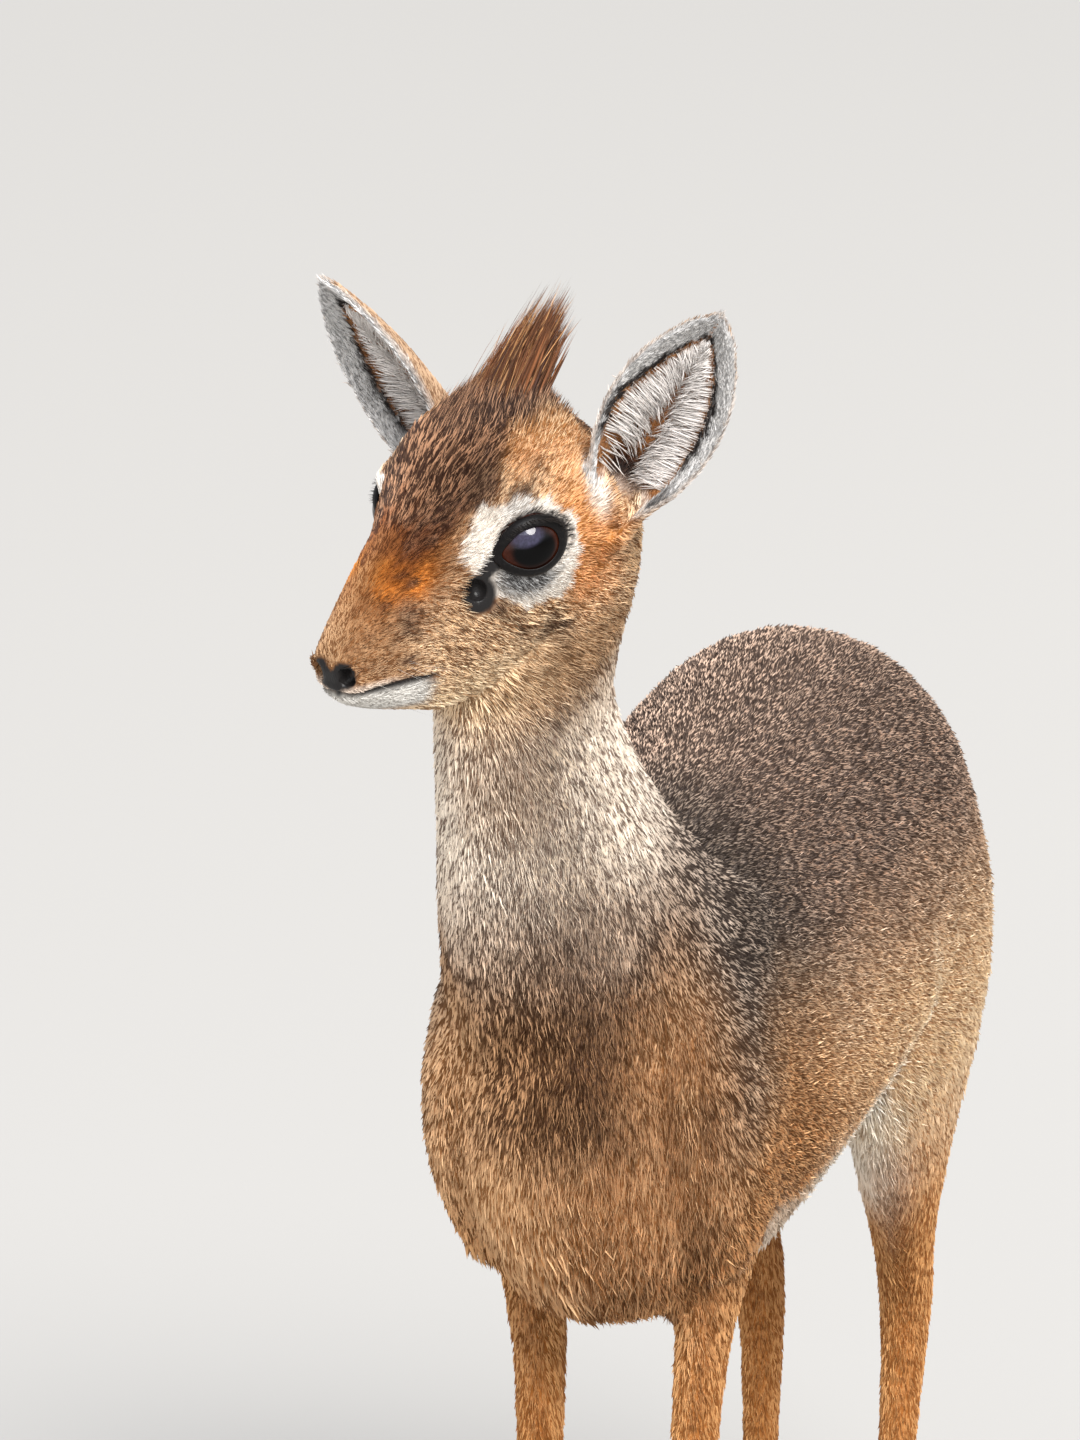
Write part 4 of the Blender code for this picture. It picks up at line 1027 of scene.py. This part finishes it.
def dress(piece, way, per, tone, ticks, dark, light, places):  # one value a hair, but for the way along it
    each = np.stack((
        np.tile(way, (len(tone), 1)), np.repeat(tone[:, None], per, 1), np.repeat(ticks[:, None], per, 1),
    ), axis=2)
    addVector(piece.data, "coat", each.reshape(-1, 3))
    addColour(piece.data, "dark", np.repeat(dark, per, axis=0))
    addColour(piece.data, "light", np.repeat(light, per, axis=0))
    addMap(piece.data, places.reshape(-1, 2))


def coatPiece(title, region, rows, points, root, tone, dark, light, ticks):
    count = len(rows)
    faces = (np.arange(count)[:, None, None] * 4 + tuftFaces).reshape(-1, 3)
    piece = writeMesh(title, points[rows].reshape(-1, 3), faces, smooth=False)
    places = rolledFlat(root[rows], region)[:, None, :] + tuftMap * coatPlan["patch"]
    dress(piece, tuftAlong, 4, tone[rows], ticks[rows], dark[rows], light[rows], places)
    slots = {"face": "tawny_coat", "earsCoat": "ear_coat", "legs": "leg_coat"}
    finishPiece(piece, coatFinish, slots.get(region, "grizzled_coat"))
    print(title, count, "tufts")


makeCoat()


# Long hairs: closed three-sided strands that bend and taper to a point


# Path: root + along * length * t + bend * t squared; half width: width * (1 - t) to the taper's power.
def strands(name, root, along, bend, facing, length, width, rings=4, flat=0.4, taper=0.8):
    t = np.linspace(0, 1, rings + 1)[:-1]
    path = root[:, None] + along[:, None] * (length[:, None] * t)[..., None] + bend[:, None] * (t**2)[:, None]
    ahead = unit(along[:, None] * length[:, None, None] + 2 * bend[:, None] * t[:, None])
    side = unit(np.cross(ahead, facing[:, None]))
    out = np.cross(side, ahead)
    half = (width[:, None] * (1 - t) ** taper)[..., None]
    ring = np.stack((path - side * half, path + out * half * flat * 2, path + side * half), axis=2)
    count = len(root)
    tip = root + along * length[:, None] + bend
    per = 3 * rings + 1
    points = np.concatenate((ring.reshape(count, -1, 3), tip[:, None]), axis=1)
    walls = ringFaces(rings, 3)[:, [0, 1, 2, 0, 2, 3]].reshape(-1, 3)
    last = 3 * (rings - 1)
    ends = [(last + j, last + (j + 1) % 3, per - 1) for j in range(3)]
    faces = np.vstack(((0, 2, 1), walls, ends))
    every = (np.arange(count)[:, None, None] * per + faces).reshape(-1, 3)
    piece = writeMesh(name, points.reshape(-1, 3), every)
    way = np.append(np.repeat(t, 3), 1.0)
    return piece, way, per


# A piece of strands from its path, its shape and its looks: dark, light, share of dark, place on the map
def hairPiece(name, path, shape, looks, slotName, *nodes, grizzle=0.0):
    piece, way, per = strands(name, *path, *shape)
    dark, light, ticks, mapPlaces = looks
    count = len(dark)
    tone = dice.random(count)
    dark = np.concatenate((dark, np.full((count, 1), grizzle)), axis=1)
    corner = np.tile((-0.5, 0.0, 0.5), per // 3 + 1)[:per]
    patch = beside(corner * (1 - 0.6 * way), way - 0.5) * coatPlan["patch"]
    dress(piece, way, per, tone, ticks, dark, light, mapPlaces[:, None] + patch)
    return finishPiece(piece, coatFinish, slotName, *nodes)


def spread(values):
    low, high = values.min(0), values.max(0)
    return 0.01 + 0.98 * (values - low) / np.maximum(high - low, 1e-9)


crestPlan = {
    "back": (-0.01, 0.835, 0.585), "front": -0.0090, "rear": 0.0290, "span": 0.0125,
    "locks": 260, "hairs": 2000, "lockWidth": 0.00085, "hairWidth": 0.00026, "gather": 0.62,
    "ways": (0, 0.15, 0.3, 0.5, 0.7, 0.85, 1),  # from brow to poll, where the lengths below are reached
    "lengths": (0.012, 0.025, 0.040, 0.0480, 0.0475, 0.040, 0.026),
    "dark": (0.030, 0.007, 0.002), "darkRange": (0.10, 0.030, 0.006),
    "golden": (0.58, 0.30, 0.12), "brown": (0.19, 0.068, 0.022),
}


# Rows of hair from the brow to the poll, swept back and up and drawn together at the top.
def crestStrands(name, count, width, rings, stray, *nodes):
    lengthwise = dice.random(count) ** 0.85
    across = dice.uniform(-1, 1, count)
    y = crestPlan["front"] + (crestPlan["rear"] - crestPlan["front"]) * lengthwise
    span = crestPlan["span"] * (0.50 + 0.50 * np.sin(np.pi * np.clip(lengthwise * 0.9 + 0.1, 0, 1)))
    x = across * span
    z = 0.0300 - 9.0 * (y - 0.012) ** 2 - 0.0040 * across**2
    full = np.interp(lengthwise, crestPlan["ways"], crestPlan["lengths"])
    length = full * dice.uniform(0.66, 1.05, count) * (1 - 0.14 * across**2)
    root = beside(x, y, z - 0.002)
    direction = unit(np.array(crestPlan["back"]))
    tip = root + direction * length[:, None]
    tip[:, 0] *= 1 - crestPlan["gather"]
    tip += dice.normal(size=(count, 3)) * stray * (0.4 + length[:, None] / 0.04)
    outward = unit(beside(across * 0.9, np.full(count, -0.5), np.full(count, 0.8)))
    bend = outward * (0.0040 + 0.0020 * np.abs(across))[:, None] * -(length / 0.04)[:, None]
    along = tip - root - bend
    reach = np.linalg.norm(along, axis=1)
    root = fromHead(root)
    along, bend, outward = (v @ headAxes.T for v in (unit(along), bend, outward))
    widths = width * dice.uniform(0.6, 1.3, count)
    mixing = np.clip(0.5 + 0.5 * drift(root, 420, 23) + 0.25 * dice.normal(size=count), 0, 1)[:, None]
    golden = (dice.random(count) < 0.14 + 0.24 * lengthwise)[:, None]
    dark = crestPlan["dark"] + mixing * np.array(crestPlan["darkRange"])
    light = np.where(golden, crestPlan["golden"], crestPlan["brown"]) * (0.4 + 1.1 * mixing)
    path = (root, along, bend, outward, reach, widths)
    looks = (dark, light, np.full(count, 0.22), spread(beside(across, lengthwise)))
    hairPiece(name, path, (rings, 0.35, 0.7), looks, "crest_coat", *nodes)


def makeCrest():
    crestStrands("crestLocks", crestPlan["locks"], crestPlan["lockWidth"], 6, 0.0008, "crest")
    crestStrands("crestHairs", crestPlan["hairs"], crestPlan["hairWidth"], 5, 0.0015)


crownPlan = {"count": 5200, "centre": (0.0, 0.012, 0.031), "radii": (0.027, 0.029, 0.015), "width": 0.00022}


def makeCrown():  # longer hair of brow and crown that sweeps up to the foot of the crest
    count = crownPlan["count"] // 1
    _, h, onHead = placesOf(skinPoints)
    share = blob(h, crownPlan["centre"], crownPlan["radii"], 0.5) * onHead * (1 - skinEar["on"])
    rows = dice.choice(len(share), count, p=share / share.sum())
    ear = {k: skinEar[k][rows] for k in skinEar}
    facing = skinNormals[rows]
    root = skinPoints[rows] + np.cross(facing, dice.normal(size=(count, 3))) * 0.0006
    dark, light, ticks, _ = paint(root, facing, ear)
    h = inHead(root)
    near = blob(h, (0, 0.014, 0.034), (0.021, 0.025, 0.015), 0.8)
    length = (0.0048 + 0.0112 * near**1.4) * dice.uniform(0.7, 1.15, count)
    aim = np.tile(unit(np.array(crestPlan["back"])), (count, 1))
    aim[:, 0] -= 0.55 * np.clip(h[:, 0] / 0.02, -1, 1)
    aim = unit(aim) * (0.35 + 0.65 * near)[:, None] + 0.30 * facing @ headAxes
    aim[:, 1] += 0.40 * (1 - near)
    along = unit(aim + 0.07 * dice.normal(size=(count, 3))) @ headAxes.T
    bend = -facing * (0.16 * length)[:, None]
    width = crownPlan["width"] * dice.uniform(0.6, 1.3, count)
    root = root - facing * 0.0004
    path, looks = (root, along, bend, facing, length, width), (dark, light, ticks, spread(h[:, :2]))
    return hairPiece("crownHairs", path, (3, 0.4, 0.7), looks, "tawny_coat", grizzle=0.9)


makeCrest()
makeCrown()
print("crest")


earHairPlan = {
    "count": 2600, "draftCount": 1100, "width": 0.00020, "longest": 0.0140, "reach": (0.16, 0.87),
    "dark": (0.40, 0.35, 0.32), "light": (0.84, 0.80, 0.77),
}


# White hairs in the cup: rows from both edges that sweep down and in toward the middle line.
def makeEarHairs(hand):
    count = earHairPlan["count"]
    side = np.where(dice.random(count) < 0.5, -1.0, 1.0)
    t = dice.uniform(*earHairPlan["reach"], count)
    side = np.where((t < 0.30) & (dice.random(count) < 0.85), sideOf[hand], side)
    edge = 0.68 * np.sqrt(np.clip(1 - (np.clip(t - 0.40, 0, None) / 0.47) ** 2, 0.02, 1))
    front = (side * sideOf[hand] < 0) * fade(0.42, 0.60, t)
    edge = edge + (0.88 - edge) * front
    s = side * edge * (0.16 + 0.84 * dice.random(count) ** 0.8)
    root, inward = earLeaf(hand, t, s)
    lock = np.sin(t * 170 + side * 2) + np.sin(t * 71 + s * 5)
    drop = 0.075 + 0.022 * lock + dice.uniform(-0.03, 0.04, count)
    nearer, _ = earLeaf(hand, t - drop, s * (0.08 - 0.16 * lock + dice.uniform(-0.2, 0.2, count)))
    root = root + inward * (earPlan["wall"] * 0.35)
    clear = nearer + inward * dice.uniform(0.0006, 0.0040, count)[:, None]
    along = unit(clear - root + 0.0010 * dice.normal(size=(count, 3)))
    full = np.linalg.norm(nearer - root, axis=1)
    length = np.minimum(full * dice.uniform(0.7, 1.0, count), earHairPlan["longest"])
    width = earHairPlan["width"] * dice.uniform(0.6, 1.5, count)
    bend = inward * -0.0010 * (length / 0.01)[:, None]
    shine = dice.uniform(0.72, 1.16, (count, 1))
    dark, light = shine * earHairPlan["dark"], shine * earHairPlan["light"]
    path = (root, along, bend, inward, length, width)
    looks = (dark, light, np.full(count, -0.2), spread(beside(s, t)))
    return hairPiece(f"earHairs_{hand}", path, (3, 0.5, 0.6), looks, "ear_coat")


for hand in sideOf:
    makeEarHairs(hand)
print("ear hairs")


# Eyes

eyeColours = {
    "iris": (0.006, 0.0018, 0.0010), "warm": (0.040, 0.0095, 0.0045), "pupil": (0.0006, 0.0005, 0.0005),
    # the blue-grey tone is a painted reflection of the sky
    "paintedReflection": (0.044, 0.041, 0.074), "edge": (0.003, 0.002, 0.002),
}


# Brown, warmer outward, with an oval pupil, a painted blue-grey sky reflection over its upper half and a
# nearly black edge
def eyeMaterial():
    plain = {"Roughness": 0.12, "Specular IOR Level": 0.05, "Coat Weight": 0.6, "Coat Roughness": 0.01}
    made, w, shader = newMaterial("eyeball", plain)
    across, up, _ = w.attribute("gaze", 1).parts()
    reach = (across * across + up * up) ** 0.5
    wide, high = across / 0.0066, (up + 0.0004) / 0.0046
    pupil = (wide * wide + high * high) ** 0.5
    fibres = w.noise(900, 3, (1, 1, 1), 0.7)
    warmth = reach.ramp(0.0056, 0.0088) * fibres * 1.7
    tones = {name: w.colour(value) for name, value in eyeColours.items()}
    iris = tones["iris"].mixed(tones["warm"], warmth)
    iris = iris.mixed(tones["pupil"], 1 - pupil.ramp(0.88, 1.15))
    # painted reflection: a blue-grey patch of sky painted over the iris's upper half, broken up by the fibres
    reflectionWide, reflectionHigh = (across + 0.0012) / 0.0058, (up - 0.0040) / 0.0030
    paintedReflection = 1 - ((reflectionWide * reflectionWide + reflectionHigh * reflectionHigh) ** 0.5).ramp(0.55, 1.15)
    paintedReflection = paintedReflection * (fibres.ramp(0.25, 0.75) * 0.6 + 0.4)
    iris = iris.mixed(tones["paintedReflection"], paintedReflection * 0.9)
    colour = iris.mixed(tones["edge"], reach.ramp(0.0092, 0.0104))
    feed(w, shader, Base_Color=colour, Coat_Weight=0.12 + 0.60 * up.ramp(0.0010, 0.0030))
    return made


# A ball with a slightly fuller clear front: radius * (1 + bulge * a bell of the angle from the gaze).
def makeEye(side, material):
    hand = handOf[side]
    centre, back, up, look = eyeAxes(side)
    rows, columns = eyePlan["rows"], eyePlan["columns"]
    fromGaze = np.linspace(0.0, np.pi, rows + 2)[1:-1]
    polar, turn = np.meshgrid(fromGaze, np.linspace(0, 2 * np.pi, columns, endpoint=False), indexing="ij")
    radius = eyePlan["radius"] * (1 + eyePlan["bulge"] * bell(polar / 0.62))
    out = radius * np.sin(polar)
    a, b, c = out * np.cos(turn), out * np.sin(turn), radius * np.cos(polar)
    local = beside(a.ravel(), b.ravel(), c.ravel())
    local = np.vstack((local, (0, 0, eyePlan["radius"] * (1 + eyePlan["bulge"])), (0, 0, -eyePlan["radius"])))
    quads = ringFaces(rows, columns)
    ends = np.arange(columns)
    after = (ends + 1) % columns
    last = (rows - 1) * columns
    triangles = np.vstack((
        quads[:, [0, 3, 2]], quads[:, [0, 2, 1]],
        beside(np.full(columns, rows * columns), ends, after),
        beside(np.full(columns, rows * columns + 1), last + after, last + ends),
    ))
    if side < 0:
        triangles = triangles[:, ::-1]
    places = fromHead(centre + local @ np.stack((back, up, look)))
    piece = writeMesh(f"eyeball_{hand}", places, triangles)
    addVector(piece.data, "gaze", local)
    return finishPiece(piece, material, "eye", f"eye_{hand}")


def bareMaterial(name, colour, roughness, coat):
    plain = {"Roughness": roughness, "Specular IOR Level": 0.12, "Coat Weight": coat, "Coat Roughness": 0.15}
    made, w, shader = newMaterial(name, plain)
    grain = w.noise(1100, 3)
    tone = w.colour(colour).mixed(w.colour(tuple(2.6 * v for v in colour)), grain.ramp(0.45, 0.75) * 0.6)
    feed(w, shader, Base_Color=tone, Normal=w.bump(grain, 0.00025, 0.5))
    return made


lidPlan = {
    "steps": 96, "corners": 14, "inside": 0.0016, "rim": 0.00140, "overBall": 0.0006, "thick": 0.0008,
    "raised": 0.0004, "tone": (0.0035, 0.003, 0.003),
}


# The black rims of the lids: a rounded section carried round the opening, its inner edge on the eyeball.
def makeLids(side, material):
    hand = handOf[side]
    centre, back, up, look = eyeAxes(side)
    steps, corners = lidPlan["steps"], lidPlan["corners"]
    a, b = lidOutline(steps, -lidPlan["inside"])
    upper = ease(-0.1, 0.8, b / eyePlan["high"]) * ease(-1.15, -0.3, a / eyePlan["wide"])
    rear = ease(0.45, 1.0, a / eyePlan["wide"])
    rimWidth = lidPlan["rim"] + 0.00025 * upper + 0.00030 * rear
    middle = beside(a, b)
    outward = unit(middle)
    angle = np.linspace(0, 2 * np.pi, corners, endpoint=False)
    reach = rimWidth[:, None] * (1 + np.cos(angle)) - lidPlan["overBall"]
    offset = middle[:, None] + outward[:, None] * reach[..., None]
    spreadOut = np.linalg.norm(offset, axis=2)
    ballLift = np.sqrt(np.clip((eyePlan["radius"] * 1.004) ** 2 - spreadOut**2, 0, None))
    edge = np.sqrt(np.clip(eyePlan["radius"] ** 2 - np.linalg.norm(middle, axis=1) ** 2, 0, None))
    away = np.clip(spreadOut - np.linalg.norm(middle, axis=1)[:, None], 0, None)
    rounding = lidPlan["thick"] * np.sin(angle) * (0.8 + 0.5 * upper[:, None])
    lift = np.maximum(ballLift, edge[:, None] - 0.55 * away) + rounding + lidPlan["raised"]
    local = np.concatenate((offset, lift[..., None]), axis=2).reshape(-1, 3)
    places = fromHead(centre + local @ np.stack((back, up, look)))
    piece = writeMesh(f"lids_{hand}", places, ringFaces(steps, corners, closed=True))
    form = bmesh.new()
    form.from_mesh(piece.data)
    bmesh.ops.recalc_face_normals(form, faces=form.faces)
    form.to_mesh(piece.data)
    form.free()
    return finishPiece(piece, material, "eye")


lashPlan = {"count": 90, "length": (0.0035, 0.0055), "width": 0.00013, "tone": (0.010, 0.008, 0.007)}


# Dark lashes along the upper lid, longest toward the back corner, pointing out, back and a little down.
def makeLashes(side):
    hand = handOf[side]
    centre, back, up, look = eyeAxes(side)
    count = lashPlan["count"]
    turn = np.radians(dice.uniform(15, 140, count))
    a = eyePlan["wide"] * np.cos(turn) * 0.98
    b = eyePlan["high"] * np.sin(turn) * 0.98
    c = np.sqrt(np.clip(eyePlan["radius"] ** 2 - a**2 - b**2, 0, None)) + 0.0010
    root = centre + beside(a, b, c) @ np.stack((back, up, look))
    rear = ease(0.2, 1.0, np.cos(turn))[:, None]
    along = unit(look * 1.0 + back * (0.35 + 0.5 * rear) + up * 0.1 + dice.normal(size=(count, 3)) * 0.12)
    length = dice.uniform(*lashPlan["length"], count) * (0.75 + 0.5 * rear[:, 0])
    bend = (back * 0.0010 - up * 0.0016) * np.ones((count, 1))
    facing = np.tile(up @ headAxes.T, (count, 1))
    width = np.full(count, lashPlan["width"])
    path = (fromHead(root), along @ headAxes.T, bend @ headAxes.T, facing, length, width)
    dark = np.tile(lashPlan["tone"], (count, 1))
    looks = (dark, dark * 1.5, np.zeros(count), spread(beside(turn, length)))
    return hairPiece(f"lashes_{hand}", path, (4,), looks, "eye")


ballFinish = eyeMaterial()
lidFinish = bareMaterial("lidSkin", lidPlan["tone"], 0.45, 0.04)
for side in (-1, 1):
    makeEye(side, ballFinish)
    makeLids(side, lidFinish)
    makeLashes(side)
print("eyes")


# Whiskers: fine bristles on lips and chin

whiskerPlan = {
    "count": 44, "length": (0.010, 0.022), "width": 0.00007,
    "pale": (0.55, 0.52, 0.48), "dark": (0.02, 0.015, 0.012),
}


def makeWhiskers():
    count = whiskerPlan["count"]
    side = np.where(np.arange(count) % 2 == 0, -1.0, 1.0)
    y = dice.uniform(-0.060, -0.042, count)
    onLip = dice.random(count) < 0.6
    drop = np.where(onLip, dice.uniform(0.0015, 0.0075, count), dice.uniform(-0.007, -0.003, count))
    z = mouthHeight(y) + drop
    x = side * (0.0088 + 0.10 * (y + 0.060))
    root = beside(x * 0.9, y, z)
    backward, upward = dice.uniform(0.1, 0.6, count), dice.uniform(-0.45, 0.05, count)
    along = unit(beside(side * 0.9, backward, upward))
    length = dice.uniform(*whiskerPlan["length"], count)
    bend = beside(side * 0.0, np.full(count, 0.002), np.full(count, -0.003))
    facing = np.tile(headAxes @ np.array((0, 0, 1.0)), (count, 1))
    width = np.full(count, whiskerPlan["width"])
    path = (fromHead(root), along @ headAxes.T, bend @ headAxes.T, facing, length, width)
    pale = (dice.random(count) < 0.5)[:, None]
    dark = np.where(pale, whiskerPlan["pale"], whiskerPlan["dark"])
    looks = (dark, dark, np.zeros(count), spread(beside(y, z)))
    return hairPiece("whiskers", path, (5,), looks, "tawny_coat")


makeWhiskers()


# Hooves keep their solids and get a horn finish

hornColours = {"dark": (0.014, 0.011, 0.010), "light": (0.060, 0.045, 0.036), "scuff": (0.13, 0.11, 0.09)}


def hornMaterial():  # dark to light by the bands of growth, with pale scuffs
    made, w, shader = newMaterial("horn", {"Roughness": 0.42, "Coat Weight": 0.15, "Coat Roughness": 0.3})
    growth = w.noise(90, 3, (1, 1, 9), 0.6)
    scuffs = w.noise(700, 3)
    dark, light, scuff = (w.colour(value) for value in hornColours.values())
    tone = dark.mixed(light, growth.ramp(0.4, 0.75)).mixed(scuff, scuffs.ramp(0.62, 0.80) * 0.5)
    relief = w.bump(growth + scuffs * 0.3, 0.0004, 0.5)
    feed(w, shader, Base_Color=tone, Roughness=0.32 + scuffs * 0.3, Normal=relief)
    return made


horn = hornMaterial()
for name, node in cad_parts.items():
    if name.startswith("hoof"):
        node.data.materials.clear()
        node.data.materials.append(horn)


# Floor, light and camera

studio = {"floor": (0.45, 0.445, 0.435), "sky": (0.94, 0.96, 1.0), "skyStrength": 0.72}
sun = {"turn": 40.0, "height": 42.0, "strength": 4.4, "spread": 30.0, "colour": (1.0, 0.965, 0.92)}
lamps = {
    "overhead": {"place": (0.45, -1.45, 1.85), "size": 1.3, "watts": 17, "colour": (0.84, 0.89, 1.0)},
    "low": {"place": (0.3, -2.6, 0.40), "size": 1.6, "watts": 32, "colour": (1.0, 0.95, 0.88)},
    "rim": {"place": (1.2, 2.2, 2.2), "size": 1.4, "watts": 20, "colour": (1.0, 0.97, 0.93)},
}
view = {
    "azimuth": 16.5, "elevation": 13.5, "distance": 4.0, "lens": 330.0, "sensor": 36.0,
    "image": (1080, 1440), "eyePixel": (533, 547), "eyeFront": 0.0095,
}


def makeFloor():
    half = 60.0
    points = np.array(((-half, -half, 0), (half, -half, 0), (half, half, 0), (-half, half, 0)))
    floor = writeMesh("floor", points, np.array(((0, 1, 2, 3),)), smooth=False)
    made, _, shader = newMaterial("paleFloor", {"Roughness": 1.0, "Specular IOR Level": 0.0})
    shader.inputs["Base Color"].default_value = (*studio["floor"], 1)
    floor.data.materials.append(made)


def makeLamps():
    for name, plan in lamps.items():
        data = bpy.data.lights.new(name, "AREA")
        data.size, data.energy, data.color = plan["size"], plan["watts"], plan["colour"]
        lamp = placed(name, data)
        lamp.location = plan["place"]
        aim = Matrix.Translation((0, 0, 0.35)).translation - lamp.location
        lamp.rotation_euler = aim.to_track_quat("-Z", "Y").to_euler()
        lamp.visible_glossy = name != "low"  # no second square in the eyes
    data = bpy.data.lights.new("sun", "SUN")
    data.energy, data.color, data.angle = sun["strength"], sun["colour"], math.radians(sun["spread"])
    lamp = placed("sun", data)
    turn, height = math.radians(sun["turn"]), math.radians(sun["height"])
    toward = Matrix.Translation((
        math.sin(turn) * math.cos(height), -math.cos(turn) * math.cos(height), math.sin(height),
    )).translation
    lamp.rotation_euler = toward.to_track_quat("Z", "Y").to_euler()
    world = bpy.data.worlds.new("studio")
    bpy.context.scene.world = world
    world.use_nodes = True
    background = world.node_tree.nodes["Background"]
    background.inputs["Color"].default_value = (*studio["sky"], 1)
    background.inputs["Strength"].default_value = studio["skyStrength"]


# Placed so that the front of the left eye falls on its pixel.
def makeCamera():
    a, e = math.radians(view["azimuth"]), math.radians(view["elevation"])
    back = np.array((math.sin(a) * math.cos(e), -math.cos(a) * math.cos(e), math.sin(e)))
    right = unit(np.cross((0, 0, 1), back))
    up = np.cross(back, right)
    focal = view["lens"] / view["sensor"] * view["image"][1]
    x = (view["eyePixel"][0] - view["image"][0] / 2) / focal
    y = (view["image"][1] / 2 - view["eyePixel"][1]) / focal
    centre, _, _, look = eyeAxes(1)
    target = fromHead(centre + look * view["eyeFront"])
    place = target - unit(right * x + up * y - back) * view["distance"]
    data = bpy.data.cameras.new("camera")
    data.lens, data.sensor_fit = view["lens"], "VERTICAL"
    data.sensor_width = data.sensor_height = view["sensor"]
    camera = placed("camera", data)
    turn = Matrix(beside(right, up, back).tolist())
    camera.matrix_world = Matrix.Translation(place) @ turn.to_4x4()
    bpy.context.scene.camera = camera


makeFloor()
makeLamps()
makeCamera()
bpy.context.scene.view_settings.view_transform = "Standard"
